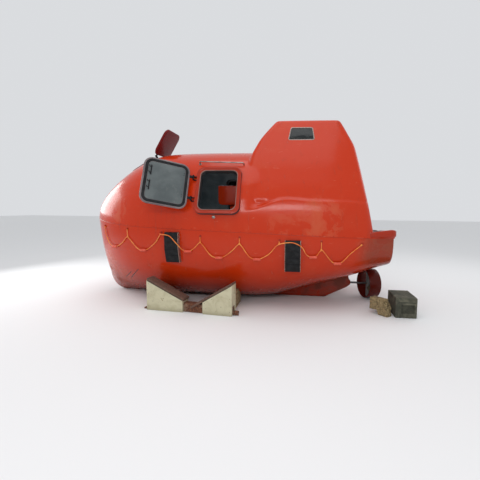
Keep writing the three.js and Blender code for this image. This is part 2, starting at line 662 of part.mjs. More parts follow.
// Grab rails on the roof's shoulders
const RAIL = { foreX: -400, aftX: 306, y: -803, foreZ: 2240, aftZ: 2216, radius: 9, reach: 82 };
const railAxis = vec(RAIL.aftX - RAIL.foreX, 0, RAIL.aftZ - RAIL.foreZ).normalize();
const railInward = vec(0, 0.74, -0.67);
const canopyGrown = canopySkin.translate([0, -0.74 * SEAT, 0.67 * SEAT]);

function strut(from, to, radius, sides = 12) {
  const span = to.clone().sub(from);
  const geometry = new THREE.CylinderGeometry(radius, radius, span.length(), sides);
  geometry.translate(0, span.length() / 2, 0);
  const turn = new THREE.Quaternion().setFromUnitVectors(vec(0, 1, 0), span.normalize());
  return toSolid(geometry, new THREE.Matrix4().compose(from, turn, vec(1, 1, 1)));
}

const railFore = vec(RAIL.foreX, RAIL.y, RAIL.foreZ);
const railAft = vec(RAIL.aftX, RAIL.y, RAIL.aftZ);
const railLegs = [railFore, railAft].flatMap((end, i) => {
  const foot = end.clone().addScaledVector(railAxis, i === 0 ? RAIL.radius : -RAIL.radius);
  const into = foot.clone().addScaledVector(railInward, RAIL.reach);
  return [
    strut(foot, into, RAIL.radius),
    strut(foot.clone().addScaledVector(railInward, 46), into, 20),
  ];
});
const grabRail = largest(cut(join(strut(railFore, railAft, RAIL.radius), ...railLegs), canopyGrown));
addSolid('grab_rail_port', grabRail, 'steel');
addSolid('grab_rail_starboard', mirrored(grabRail), 'steel');

// Rubber fenders on the hull's sides, cut to its curve
const hullGrown = toSolid(loft(STATIONS.map((x) => hullRing(x, -SEAT, 0))));
const FENDERS = [
  { name: 'fore', x: -725, width: 212, top: 1168, foot: 712 },
  { name: 'aft', x: 1072, width: 216, top: 1082, foot: 622 },
];
FENDERS.forEach((f) => {
  const side = hullSide(f.x, (f.top + f.foot) / 2);
  const profile = polygon([
    [side - 160, f.foot], [side + 18, f.foot], [side + 52, f.foot + 110], [side + 78, f.foot + 200],
    [side + 82, f.top - 40], [side + 66, f.top], [side - 160, f.top],
  ]);
  const across = frameOf(vec(f.x - f.width / 2, 0, 0), vec(0, 1, 0), vec(0, 0, 1));
  const block = cut(mirrored(toSolid(slab(profile, 0, f.width), across)), hullGrown);
  addSolid(`fender_${f.name}_port`, block, 'rubber');
  addSolid(`fender_${f.name}_starboard`, mirrored(block), 'rubber');
});

// Propeller, its shaft and the nozzle that steers the boat
const SHAFT_Z = 266;
const SHAFT = { radius: 17, start: 1780, end: 2412, bossRadius: 44, bossStart: 1900, clearance: 0.4 };
const NOZZLE = {
  x: 2352, half: 102, outer: 246, inner: 217, stock: 22, stockTop: 800, trunk: 46, trunkTop: 770, rest: 18,
};
const PROPELLER = { radius: 203, hub: 34, hubStart: 2312, hubEnd: 2392, blades: 3, chord: 150, thick: 9 };

const shaftBoss = toSolid(rod('x', SHAFT.bossRadius, SHAFT.bossStart, SKEG.endX + 22, 0, SHAFT_Z, 20));
const shaftBore = toSolid(
  rod('x', SHAFT.radius + SHAFT.clearance, SHAFT.start - 4, SKEG.endX + 60, 0, SHAFT_Z, 20),
);
const trunk = toSolid(rod('z', NOZZLE.trunk, keelHeight(NOZZLE.x) + 6, NOZZLE.trunkTop, NOZZLE.x, 0, 20));
const stockBore = toSolid(rod('z', NOZZLE.stock + SHAFT.clearance, 400, NOZZLE.trunkTop + 20, NOZZLE.x, 0, 20));

const shaft = toSolid(rod('x', SHAFT.radius, SHAFT.start, SHAFT.end, 0, SHAFT_Z, 20));
addSolid('propeller_shaft', shaft, 'steel');

function bladeRing(share) {
  const radius = 22 + (PROPELLER.radius - 22) * share;
  const chord = PROPELLER.chord * (0.55 + 0.75 * share - 0.78 * share ** 3);
  const pitch = Math.atan2(300, 2 * Math.PI * Math.max(radius, 60));
  const thick = PROPELLER.thick * (1 - 0.6 * share);
  return [[-0.5, 0], [-0.25, 0.4], [0.1, 0.5], [0.4, 0.25], [0.5, 0], [0.4, -0.25], [0.1, -0.5], [-0.25, -0.4]]
    .map(([c, t]) => {
      const alongChord = c * chord;
      const out = t * thick;
      const x = alongChord * Math.sin(pitch) + out * Math.cos(pitch);
      const y = alongChord * Math.cos(pitch) - out * Math.sin(pitch);
      const turn = y / Math.max(radius, 60);
      return vec(x, radius * Math.sin(turn), radius * Math.cos(turn));
    });
}

const blade = toSolid(loft([0, 0.25, 0.5, 0.75, 0.92, 1].map(bladeRing)));
const hub = toSolid(rod('x', PROPELLER.hub, -40, 40, 0, 0, 24));
const bladesRound = Array.from(
  { length: PROPELLER.blades },
  (_, i) => blade.rotate([i * (360 / PROPELLER.blades), 0, 0]),
);
const propeller = cut(
  join(hub, ...bladesRound).translate([NOZZLE.x, 0, SHAFT_Z]),
  toSolid(rod('x', SHAFT.radius + SEAT, 2300, 2400, 0, SHAFT_Z, 20)),
);
addSolid('propeller', propeller, 'bronze');

const nozzleProfile = [
  [NOZZLE.inner + 14, -NOZZLE.half], [NOZZLE.outer - 6, -NOZZLE.half], [NOZZLE.outer, -NOZZLE.half + 14],
  [NOZZLE.outer, NOZZLE.half - 14], [NOZZLE.outer - 6, NOZZLE.half], [NOZZLE.inner + 8, NOZZLE.half],
  [NOZZLE.inner, NOZZLE.half - 60], [NOZZLE.inner, -NOZZLE.half + 60], [NOZZLE.inner + 14, -NOZZLE.half],
].map(([radius, x]) => new THREE.Vector2(radius, x));
const ringGeometry = new THREE.LatheGeometry(nozzleProfile, 36);
ringGeometry.rotateZ(-Math.PI / 2);
ringGeometry.translate(NOZZLE.x, 0, SHAFT_Z);
const stock = toSolid(rod('z', NOZZLE.stock, SHAFT_Z + NOZZLE.inner + 8, NOZZLE.stockTop, NOZZLE.x, 0, 20));
const ring = cut(join(toSolid(ringGeometry), stock));
const turnedNozzle = ring.translate([-NOZZLE.x, 0, 0]).rotate([0, 0, NOZZLE.rest]).translate([NOZZLE.x, 0, 0]);
addSolid('steering_nozzle', turnedNozzle, 'darkRed');

// Grab lines: height and place along the hull, and how far outside it
const LINE_RADIUS = 7;
const LINE_OFF = 16;
const LINE_SIDES = 8;
const LINE_STEPS = 84;
const GRAB_LINE = [
  { x: -1984, z: 1190 }, { x: -1978, z: 1090, off: 20 }, { x: -1912, z: 950, off: 20 },
  { x: -1832, z: 908, off: 26 }, { x: -1735, z: 906, off: 26 }, { x: -1586, z: 982, off: 18 },
  { x: -1504, z: 1060, off: 17 }, { x: -1474, z: 1076 }, { x: -1444, z: 1052 },
  { x: -1290, z: 896, off: 26 }, { x: -1217, z: 882, off: 26 }, { x: -1136, z: 896, off: 26 },
  { x: -985, z: 1014 }, { x: -918, z: 1104, off: 34 }, { x: -886, z: 1130, off: 60 },
  { x: -846, z: 1136, off: 92 }, { x: -735, z: 1118, off: 100 }, { x: -622, z: 1000, off: 98 },
  { x: -554, z: 908, off: 50 }, { x: -474, z: 886, off: 26 }, { x: -385, z: 938, off: 26 },
  { x: -320, z: 1006 }, { x: -292, z: 1020 }, { x: -264, z: 994 }, { x: -128, z: 826, off: 26 },
  { x: -55, z: 802, off: 26 }, { x: 25, z: 806, off: 26 }, { x: 170, z: 898 }, { x: 268, z: 996 },
  { x: 296, z: 1012 }, { x: 324, z: 988 }, { x: 452, z: 820, off: 26 }, { x: 515, z: 798, off: 26 },
  { x: 578, z: 796, off: 26 }, { x: 720, z: 870 }, { x: 838, z: 1000, off: 30 },
  { x: 880, z: 1028, off: 62 }, { x: 930, z: 1046, off: 96 }, { x: 1072, z: 1058, off: 100 },
  { x: 1196, z: 1000, off: 98 }, { x: 1268, z: 882, off: 46 }, { x: 1328, z: 846, off: 26 },
  { x: 1395, z: 850, off: 26 }, { x: 1458, z: 930 }, { x: 1486, z: 948 }, { x: 1514, z: 922 },
  { x: 1635, z: 776, off: 26 }, { x: 1692, z: 750, off: 26 }, { x: 1762, z: 758, off: 26 },
  { x: 1900, z: 905 }, { x: 2030, z: 1016 },
];
const linePoints = GRAB_LINE.map((p) => vec(p.x, -hullSide(p.x, p.z) - (p.off ?? LINE_OFF), p.z));
const linePath = new THREE.CatmullRomCurve3(linePoints);
const lineSection = new THREE.Shape();
lineSection.absarc(0, 0, LINE_RADIUS, 0, Math.PI * 2, false);
const lineTube = new THREE.ExtrudeGeometry(lineSection, {
  steps: LINE_STEPS, curveSegments: LINE_SIDES / 2, bevelEnabled: false, extrudePath: linePath,
});
const grabLine = toSolid(lineTube);
addSolid('grab_line_port', grabLine, 'rope');
addSolid('grab_line_starboard', mirrored(grabLine), 'rope');

// Eyes on the hull that the grab lines hang from
const EYES = [
  { x: -1470, z: 1203, foot: 1090 }, { x: -889, z: 1164, foot: 1144, out: 60 },
  { x: -293, z: 1118, foot: 1032 }, { x: 296, z: 1108, foot: 1024 },
  { x: 879, z: 1082, foot: 1042, out: 62 }, { x: 1476, z: 1074, foot: 960 },
];
const sideAt = (x, z, off) => vec(x, -hullSide(x, z) - off, z);
const eyes = EYES.flatMap((eye) => [
  strut(sideAt(eye.x, eye.z, -20), sideAt(eye.x, eye.z, (eye.out ?? LINE_OFF) + LINE_RADIUS), 9),
  strut(sideAt(eye.x, eye.z, -20), sideAt(eye.x, eye.z, 5), 24),
  strut(sideAt(eye.x, eye.z, eye.out ?? LINE_OFF), sideAt(eye.x, eye.foot, eye.out ?? LINE_OFF), 5),
]);
const lineEnds = [0, 1].flatMap((t) => {
  const end = linePath.getPointAt(t);
  const away = linePath.getTangentAt(t).multiplyScalar(t === 0 ? -1 : 1);
  const near = end.clone().addScaledVector(away, SEAT);
  const far = end.clone().addScaledVector(away, 34);
  return [strut(near, far, 9), strut(far.clone().setY(far.y + 50), far.clone().setY(far.y - 9), 11)];
});
const fittings = [...eyes, ...lineEnds];

const hullWalls = cut(join(hullSkin, skeg, shaftBoss), hullHollow);
const hullShell = cut(
  join(hullWalls, trunk, ...fittings, ...fittings.map(mirrored)),
  shaftBore,
  stockBore,
  grabLine,
  mirrored(grabLine),
);
addSolid('hull_shell', hullShell, 'orange');

// Inside the cabin
const INSIDE_PLAY = 0.9994;
const insideHull = (solid) => solid.intersect(hullHollow.scale([INSIDE_PLAY, INSIDE_PLAY, 1]));
const SOLE = { foreX: -1750, aftX: 1180, low: 300, top: 332 };
const BENCH = { foreX: -1350, aftX: 1150, top: 700, innerY: 470 };
addSolid('cabin_sole', insideHull(boxSolid([SOLE.foreX, -900, SOLE.low], [SOLE.aftX, 900, SOLE.top])), 'grey');
const bench = insideHull(boxSolid(
  [BENCH.foreX, -1100, SOLE.top + SEAT],
  [BENCH.aftX, -BENCH.innerY, BENCH.top],
));
addSolid('bench_port', bench, 'grey');
addSolid('bench_starboard', mirrored(bench), 'grey');

const CONSOLE = { foreX: -224, aftX: 380, half: 330, low: 1584, top: 1902, pillarX: -40, pillarHalf: 250, round: 60 };
const consoleOutline = polygon([
  [CONSOLE.pillarX, SOLE.top + SEAT], [CONSOLE.aftX - 20, SOLE.top + SEAT], [CONSOLE.aftX - 20, CONSOLE.low],
  [CONSOLE.aftX, CONSOLE.low], [CONSOLE.aftX, CONSOLE.top], [CONSOLE.foreX, CONSOLE.top],
  [CONSOLE.foreX, CONSOLE.low + CONSOLE.round], [CONSOLE.foreX + 18, CONSOLE.low + 18],
  [CONSOLE.foreX + CONSOLE.round, CONSOLE.low], [CONSOLE.pillarX, CONSOLE.low],
]);
const consoleWide = toSolid(slab(consoleOutline, -CONSOLE.half, CONSOLE.half), skegFrame);
const pillarSides = [-1, 1].map((side) => boxSolid(
  [CONSOLE.foreX, Math.min(side * CONSOLE.pillarHalf, side * 400), SOLE.top - 10],
  [CONSOLE.aftX + 10, Math.max(side * CONSOLE.pillarHalf, side * 400), CONSOLE.low],
));
addSolid('helm_console', cut(consoleWide, ...pillarSides), 'orange');

const PLATFORM = { foreX: 520, aftX: 1720, half: 440, top: 1480, thick: 40, wall: 30 };
const platformTop = boxSolid(
  [PLATFORM.foreX, -PLATFORM.half, PLATFORM.top - PLATFORM.thick],
  [PLATFORM.aftX, PLATFORM.half, PLATFORM.top],
);
const platformWalls = [-1, 1].map((side) => boxSolid(
  [PLATFORM.foreX, Math.min(side * PLATFORM.half, side * (PLATFORM.half - PLATFORM.wall)), SOLE.top + SEAT],
  [SOLE.aftX - 20, Math.max(side * PLATFORM.half, side * (PLATFORM.half - PLATFORM.wall)), PLATFORM.top - 10],
));
addSolid('helm_platform', join(platformTop, ...platformWalls), 'grey');

const seat = join(
  boxSolid([1180, -90, PLATFORM.top + SEAT], [1380, 90, 1860]),
  boxSolid([1060, -225, 1850], [1500, 225, 1930]),
  boxSolid([1430, -225, 1920], [1500, 225, 2380]),
);
addSolid('helm_seat', seat, 'rubber');

const wheelRing = new THREE.TorusGeometry(175, 11, 8, 24);
wheelRing.rotateY(Math.PI / 2);
wheelRing.translate(470, 0, 2100);
const wheel = join(
  toSolid(wheelRing),
  boxSolid([463, -172, 2092], [477, 172, 2108]),
  boxSolid([463, -8, 2100], [477, 8, 2272]),
  strut(vec(478, 0, 2100), vec(330, 0, 2060), 24),
  strut(vec(330, 0, 2080), vec(330, 0, CONSOLE.top + SEAT), 28),
);
addSolid('helm_wheel', wheel, 'rubber');

addSolid('engine_block', boxSolid([640, -230, SOLE.top + SEAT], [1170, 230, 820]), 'steel');

const hookPlate = polygon([
  [-1690, SOLE.top + SEAT], [-1570, SOLE.top + SEAT], [-1600, 1700], [-1590, 1800], [-1560, 1860], [-1580, 1930],
  [-1640, 1960], [-1700, 1920], [-1690, 1860], [-1650, 1880], [-1620, 1850], [-1660, 1790], [-1665, 1700],
]);
addSolid('lifting_hook', toSolid(slab(hookPlate, -20, 20), skegFrame), 'steel');

// Chock stands, one along each side
const STAND = { x: -1096, y: -1208, turn: -5.7, depth: 200, beamLow: 40, beamHigh: 160, beamTop: 130 };
const standFrame = new THREE.Matrix4().makeRotationZ(radians(STAND.turn)).setPosition(vec(STAND.x, STAND.y, 0));
const onStand = (solid) => solid.transform(standFrame.elements);
const uprightStand = frameOf(vec(0, 0, 0), vec(1, 0, 0), vec(0, 0, 1));
const SADDLES = [
  { name: 'fore', outer: 0, inner: 577, tip: 480, step: 209, tail: 594, tailZ: 200 },
  { name: 'aft', outer: 1335, inner: 892, tip: 477, step: 209, tail: 706, tailZ: 97 },
];
const PAD = 34;
const beamRoom = boxSolid(
  [-60, STAND.beamLow - SEAT, -1],
  [1460, STAND.beamHigh + SEAT, STAND.beamTop + SEAT],
);

// Along the stand, up, and with the depth going away from the viewer
const standSlab = (points, near, far) => toSolid(slab(polygon(points), -far, -near), uprightStand);

SADDLES.forEach((s) => {
  const lift = PAD + SEAT;
  const face = [[s.outer, 0], [s.inner, 0], [s.inner, s.step - lift], [s.outer, s.tip - lift]];
  const board = standSlab(face, 0, STAND.depth);
  const block = cut(onStand(cut(board, beamRoom)), hullGrown);
  addSolid(`saddle_${s.name}_port`, block, 'cream');
  addSolid(`saddle_${s.name}_starboard`, mirrored(block), 'cream');
  const pad = standSlab([
    [s.outer, s.tip - PAD], [s.inner, s.step - PAD], [s.tail, s.tailZ - PAD], [s.tail, s.tailZ],
    [s.inner, s.step], [s.outer, s.tip],
  ], 6, STAND.depth - 6);
  const bearer = cut(onStand(cut(pad, beamRoom)), hullGrown);
  addSolid(`bearer_${s.name}_port`, bearer, 'rust');
  addSolid(`bearer_${s.name}_starboard`, mirrored(bearer), 'rust');
});

const standBeam = join(
  boxSolid([10, STAND.beamLow, 0], [1325, STAND.beamHigh, STAND.beamTop]),
  boxSolid([-70, STAND.beamLow, 0], [20, STAND.beamHigh, 20]),
  toSolid(rod('x', 34, 1300, 1412, 80, 34, 16)),
);
addSolid('stand_beam_port', onStand(standBeam), 'rust');
addSolid('stand_beam_starboard', mirrored(onStand(standBeam)), 'rust');

// Timber chocks under the bilges, behind the stands
const CHOCKS = [{ name: 'fore', low: -1130, high: -960 }, { name: 'aft', low: 60, high: 210 }];
CHOCKS.forEach((c) => {
  const timber = cut(boxSolid([c.low, -1160, 0], [c.high, -540, 262]), hullGrown, onStand(boxSolid(
    [-60, -200, -1],
    [1440, STAND.depth + SEAT, 600],
  )));
  addSolid(`chock_${c.name}_port`, timber, 'wood');
  addSolid(`chock_${c.name}_starboard`, mirrored(timber), 'wood');
});

// Concrete block and broken timber by the nozzle
addSolid('stern_block', boxSolid([2539, -1034, 0], [2839, -560, 296]), 'concrete');
const timberFrame = new THREE.Matrix4().compose(
  vec(2376, -900, 0), new THREE.Quaternion().setFromEuler(new THREE.Euler(0, 0, radians(-48))), vec(1, 1, 1),
);
addSolid('stern_timber', boxSolid([-170, -62, 0], [150, 62, 245], timberFrame), 'wood');

export default group;
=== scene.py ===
"""Enclosed lifeboat on its keel between two chock stands: the looks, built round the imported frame.

Tables and lengths are millimetres, as in the part, and places inside a finish are metres.
Bow towards -X, port side towards -Y, Z up.
"""
from math import asin, atan2, ceil, cos, floor, pi, radians, sin, sqrt, tan

import bmesh
import bpy
from mathutils import Matrix, Vector, noise
from mathutils.bvhtree import BVHTree


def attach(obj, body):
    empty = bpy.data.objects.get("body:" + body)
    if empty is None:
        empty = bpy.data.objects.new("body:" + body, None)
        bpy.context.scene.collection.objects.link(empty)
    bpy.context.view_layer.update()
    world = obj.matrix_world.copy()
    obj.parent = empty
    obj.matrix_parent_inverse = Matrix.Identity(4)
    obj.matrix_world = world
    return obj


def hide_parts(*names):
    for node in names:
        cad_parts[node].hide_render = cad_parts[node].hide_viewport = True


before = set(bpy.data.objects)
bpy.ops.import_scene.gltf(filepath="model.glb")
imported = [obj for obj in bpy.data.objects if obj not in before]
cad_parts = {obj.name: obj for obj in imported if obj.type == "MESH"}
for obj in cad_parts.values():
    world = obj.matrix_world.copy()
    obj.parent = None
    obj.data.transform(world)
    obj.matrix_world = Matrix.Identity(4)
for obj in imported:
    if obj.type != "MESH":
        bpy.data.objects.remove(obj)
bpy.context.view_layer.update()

MM = 0.001
PHOTO_PIXELS = 480


def linked(name, data):
    obj = bpy.data.objects.new(name, data)
    bpy.context.scene.collection.objects.link(obj)
    return obj


# Camera, at the photograph's viewpoint
def set_camera():
    place = Vector((1.238, -5.85, 1.55))
    turn, dip, roll = radians(7.0), radians(5.6), radians(0.6)
    focus_pixels, centre_pixel, sensor = 333.3, 264, 36.0
    ahead = Vector((-sin(turn) * cos(dip), cos(turn) * cos(dip), -sin(dip)))
    right = ahead.cross(Vector((0, 0, 1))).normalized()
    up = right.cross(ahead)
    right, up = (right * cos(roll) + up * sin(roll), up * cos(roll) - right * sin(roll))
    data = bpy.data.cameras.new("viewpoint")
    data.sensor_width = sensor
    data.lens = sensor * focus_pixels / PHOTO_PIXELS
    data.shift_x = (PHOTO_PIXELS / 2 - centre_pixel) / PHOTO_PIXELS
    data.clip_start, data.clip_end = 0.05, 100
    camera = linked("viewpoint", data)
    camera.matrix_world = Matrix.Translation(place) @ Matrix((right, up, -ahead)).transposed().to_4x4()
    bpy.context.scene.camera = camera


set_camera()


# The boat's lines, repeated from the part
def rows(columns, *values):
    return [dict(zip(columns.split(), row)) for row in values]


STEM_X, STERN_X, ENTRANCE_X = -2385, 2520, -900
HALF_BEAM, KEEL_HALF = 1100, 32
STEM_RAKE, RAKE_FOOT_Z, RAKE_TOP_Z = 45, 360, 1357
FOREFOOT_LENGTH, FOREFOOT_HEIGHT = 320, 380
HULL_WALL, CANOPY_WALL, SEAM_GAP = 45, 32, 0.5
CANOPY_END_X, CROWN_END_X, SHOULDER_START_X = 2235, 900, 330
LEDGE_RISE, LEDGE_TUCK = 26, 8
END_LEAN, END_FOOT_Z = 0.2, 1163
DECK_CROWN_Z, DECK_EDGE_Z = 1166, 1132
CROWN_STEPS, CREASE_STEP = 12, 3
TUCKED_X, BOW_FULL_LENGTH, LEAN_START_X = 620, 1200, 1800
CORNER_LENGTH, CORNER_PULL = 120, 0.09
ROOM_TOP_Z, SKIN_CELL = 2871, 17
SHAFT_Z, NOZZLE_X = 266, 2352
BOW_POWER, RAKE_POWER, KEEL_EXTRA = 2.15, 1.5, 1.3

HULL_ROWS = rows(
    "x beam sheer flat rise wall turn",
    (-2385, 1.00, 1357, 0.40, 0.20, 0.92, 0.50), (-1900, 1.00, 1288, 0.46, 0.12, 0.95, 0.44),
    (-1400, 1.00, 1244, 0.54, 0.10, 0.98, 0.38), (-800, 1.00, 1218, 0.62, 0.09, 0.99, 0.34),
    (0, 1.00, 1188, 0.66, 0.09, 1.00, 0.32), (900, 0.995, 1162, 0.66, 0.10, 1.00, 0.34),
    (1600, 0.955, 1136, 0.68, 0.11, 1.00, 0.36), (2150, 0.87, 1122, 0.74, 0.10, 1.00, 0.36),
    (2520, 0.78, 1118, 0.90, 0.06, 1.00, 0.24),
)
KEEL_RISE = rows(
    "x keel",
    (450, 0), (750, 40), (1070, 135), (1500, 262), (2000, 412), (2300, 548), (2450, 612), (2520, 640),
)
CROWN_ROWS = rows(
    "x crown",
    (-2430, 1364), (-2412, 1520), (-2340, 1650), (-2200, 1806), (-2000, 1985), (-1750, 2165),
    (-1500, 2310), (-1280, 2396), (-1000, 2444), (-500, 2464), (100, 2466), (900, 2462),
)
CREASE_ROWS = rows(
    "x crease", (330, 1478), (464, 1518), (897, 1664), (1315, 1646), (1800, 1638), (2235, 1625),
)
TOWER_ROWS = rows(
    "z front aft half corner",
    (1600, 330, 2146, 990, 90), (1670, 335, 2132, 1000, 90), (2084, 350, 2050, 833, 90),
    (2331, 385, 1996, 733, 85), (2499, 460, 1952, 665, 80), (2639, 540, 1880, 608, 75),
    (2882, 740, 1748, 510, 70), (2903, 770, 1718, 480, 50),
)


def clamp(value, low, high):
    return max(low, min(high, value))


def smoothstep(value, low, high):
    t = clamp((value - low) / (high - low), 0, 1)
    return t * t * (3 - 2 * t)


def lerp(a, b, t):
    return a + (b - a) * t


def along(table, column, at, key="x"):
    """A smooth value between the rows of a table."""
    if at <= table[0][key]:
        return table[0][column]
    if at >= table[-1][key]:
        return table[-1][column]
    i = next(k for k in range(len(table) - 1) if table[k + 1][key] >= at)
    before, low, high = table[max(i - 1, 0)], table[i], table[i + 1]
    after = table[min(i + 2, len(table) - 1)]
    span = high[key] - low[key]
    t = (at - low[key]) / span
    slope_low = span * (high[column] - before[column]) / (high[key] - before[key])
    slope_high = span * (after[column] - low[column]) / (after[key] - low[key])
    t2, t3 = t * t, t ** 3
    return ((2 * t3 - 3 * t2 + 1) * low[column] + (t3 - 2 * t2 + t) * slope_low
            + (3 * t2 - 2 * t3) * high[column] + (t3 - t2) * slope_high)


def half_beam(x):
    share = clamp((ENTRANCE_X - x) / (ENTRANCE_X - STEM_X), 0, 1)
    bow = sqrt(max(1 - share ** BOW_POWER, 0))
    return max(HALF_BEAM * along(HULL_ROWS, "beam", x) * bow, KEEL_HALF)


def keel_height(x):
    into = clamp((STEM_X + FOREFOOT_LENGTH - x) / FOREFOOT_LENGTH, 0, 1)
    if into > 0:
        return FOREFOOT_HEIGHT * (1 - sqrt(1 - into * into))
    return along(KEEL_RISE, "keel", x)


def sheer_height(x):
    return along(HULL_ROWS, "sheer", x)


def rake(x, z):
    """How far the raked stem carries a point forward."""
    near = clamp((ENTRANCE_X - x) / (ENTRANCE_X - STEM_X), 0, 1) ** RAKE_POWER
    return -STEM_RAKE * near * clamp((z - RAKE_FOOT_Z) / (RAKE_TOP_Z - RAKE_FOOT_Z), 0, 1.2)


def bezier(t, a, b, c, d):
    return (1 - t) ** 3 * a + 3 * t * (1 - t) ** 2 * b + 3 * t * t * (1 - t) * c + t ** 3 * d


def hull_point(x, t, inset=0):
    """A point of the hull's skin, from the keel at 0 to the sheer at 1."""
    foot = keel_height(x) + inset * KEEL_EXTRA
    top = sheer_height(x)
    beam = max(half_beam(x) - inset, KEEL_HALF * 0.6)
    height = max(top - foot, 60)
    keel = min(KEEL_HALF, beam * 0.9)
    y = bezier(t, keel, keel + along(HULL_ROWS, "flat", x) * (beam - keel),
               beam * along(HULL_ROWS, "wall", x), beam)
    z = bezier(t, foot, foot + along(HULL_ROWS, "rise", x) * height,
               foot + along(HULL_ROWS, "turn", x) * height, top)
    return Vector((x + rake(x, z), y, z))


def breadth_at(point_at, top, z):
    """Half breadth at a height of a section whose points run up from 0 to top."""
    low, high = 0.0, float(top)
    for _ in range(24):
        middle = (low + high) / 2
        if point_at(middle).z < z:
            low = middle
        else:
            high = middle
    return point_at(low).y


def hull_side(x, z):
    """Half breadth of the hull's skin at a place on its side."""
    station = x
    for _ in range(6):
        station = x - rake(station, z)
    return breadth_at(lambda t: hull_point(station, t), 1, z)


def tower_side(x, z):
    return along(TOWER_ROWS, "half", z, "z") * min(half_beam(x) / half_beam(CROWN_END_X), 1)


def canopy_whole_step(x, step, inset=0):
    seam = sheer_height(x) + SEAM_GAP
    bow_x = x + rake(x, seam)
    beam = max(half_beam(x) - inset, 12)
    height = max(along(CROWN_ROWS, "crown", bow_x) - seam - inset, 8)
    power = 2 / (2.05 + 0.3 * clamp((x - STEM_X) / BOW_FULL_LENGTH, 0, 1))
    crease_height = along(CREASE_ROWS, "crease", x)
    even = pi / 2 * CREASE_STEP / CROWN_STEPS
    exact = asin(clamp((crease_height - seam) / height, 0, 1) ** (1 / power))
    crease = lerp(even, exact, smoothstep(x, 0, SHOULDER_START_X))
    over = (step - CREASE_STEP) / (CROWN_STEPS - CREASE_STEP)
    angle = crease * step / CREASE_STEP if over <= 0 else lerp(crease, pi / 2, over)
    tucked = smoothstep(x, SHOULDER_START_X, TUCKED_X)
    y = beam * max(cos(angle), 0) ** power
    z = seam + height * sin(angle) ** power
    if step > CREASE_STEP and x > SHOULDER_START_X:
        if step == CREASE_STEP + 1 or x > CROWN_END_X:
            z += (crease_height + LEDGE_RISE - z) * (1 if x > CROWN_END_X else tucked)
        y -= tucked * max(y - tower_side(x, z) + LEDGE_TUCK + inset, 0)
    corner = clamp((x - CANOPY_END_X) / CORNER_LENGTH + 1, 0, 1)
    y *= 1 - CORNER_PULL * (1 - sqrt(1 - corner * corner))
    lean = END_LEAN * (z - END_FOOT_Z) * smoothstep(x, LEAN_START_X, CANOPY_END_X)
    return Vector((bow_x - lean, y, z))


def canopy_point(x, step, inset=0):
    """A point of the canopy's skin: step counts from the seam up to the crown."""
    if CREASE_STEP < step < CREASE_STEP + 2:
        low = floor(step)
        return canopy_whole_step(x, low, inset).lerp(canopy_whole_step(x, low + 1, inset), step - low)
    return canopy_whole_step(x, step, inset)


def canopy_side(x, z):
    """Half breadth of the canopy's skin at a place on its side."""
    return breadth_at(lambda step: canopy_point(x, step), CROWN_STEPS, z)


# Frames to place shapes in
def frame_of(origin, x_axis, y_axis):
    x_axis, y_axis = Vector(x_axis), Vector(y_axis)
    axes = Matrix((x_axis, y_axis, x_axis.cross(y_axis))).transposed().to_4x4()
    return Matrix.Translation(Vector(origin)) @ axes


def facing(place, direction):
    """A frame at a place whose z axis points in a direction."""
    z_axis = Vector(direction).normalized()
    side = Vector((0, 0, 1)) if abs(z_axis.z) < 0.9 else Vector((1, 0, 0))
    x_axis = side.cross(z_axis).normalized()
    return frame_of(place, x_axis, z_axis.cross(x_axis))


def turned(degrees, axis):
    return Matrix.Rotation(radians(degrees), 4, axis)


AS_DRAWN, MIRROR = Matrix.Identity(4), Matrix.Diagonal((1, -1, 1, 1))
UPRIGHT = frame_of((0, 0, 0), (1, 0, 0), (0, 0, 1))
SIDES = {"port": -1, "starboard": 1}
DRAWN_TO_PORT = {"port": AS_DRAWN, "starboard": MIRROR}
DRAWN_TO_STARBOARD = {"port": MIRROR, "starboard": AS_DRAWN}


# Shapes
class Shape:
    """Points and faces on their way to becoming a piece."""

    def __init__(self, points=(), faces=()):
        self.points = [Vector(p) for p in points]
        self.faces = list(faces)

    def __add__(self, other):
        start = len(self.points)
        return Shape(self.points + other.points,
                     self.faces + [tuple(start + i for i in face) for face in other.faces])

    def placed(self, matrix):
        return Shape([matrix @ p for p in self.points], self.faces)

    def at(self, x=0, y=0, z=0):
        return self.placed(Matrix.Translation((x, y, z)))

    def towards(self, place, direction=(1, 0, 0)):
        """The shape at a place with its z axis in a direction, aft if none is given."""
        return self.placed(facing(place, direction))


def gathered(shapes):
    return sum(shapes, Shape())


def circle(count, more=0):
    """Angles round a circle; one more than its count closes it."""
    return [2 * pi * k / count for k in range(count + more)]


def raised(outline, z):
    return [Vector((p.x, p.y, z)) for p in outline]


def loft(rings, closed=False):
    """A skin over rings of the same number of points, capped at its ends unless it closes on itself."""
    count = len(rings[0])
    faces = []
    for r in range(len(rings) if closed else len(rings) - 1):
        a, b = r * count, (r + 1) % len(rings) * count
        faces += [(a + i, a + (i + 1) % count, b + (i + 1) % count, b + i) for i in range(count)]
    if not closed:
        faces += [tuple(range(count))[::-1], tuple((len(rings) - 1) * count + i for i in range(count))]
    return Shape([p for ring in rings for p in ring], faces)


def rounded(corners, radius, steps=6):
    """An outline with its corners rounded, going anticlockwise."""
    corners = [Vector(c) for c in corners]
    points = []
    for i, corner in enumerate(corners):
        back = (corners[i - 1] - corner).normalized()
        on = (corners[(i + 1) % len(corners)] - corner).normalized()
        half = back.angle(on) / 2
        centre = corner + (back + on).normalized() * radius / sin(half)
        start = corner + back * radius / tan(half) - centre
        end = corner + on * radius / tan(half) - centre
        sweep = atan2(start.x * end.y - start.y * end.x, start.dot(end))
        for k in range(steps + 1):
            a = sweep * k / steps
            points.append(centre + Vector((start.x * cos(a) - start.y * sin(a),
                                           start.x * sin(a) + start.y * cos(a))))
    return points


def rounded_rectangle(width, height, radius, steps=6):
    x, y = width / 2, height / 2
    return rounded([(-x, -y), (x, -y), (x, y), (-x, y)], radius, steps)


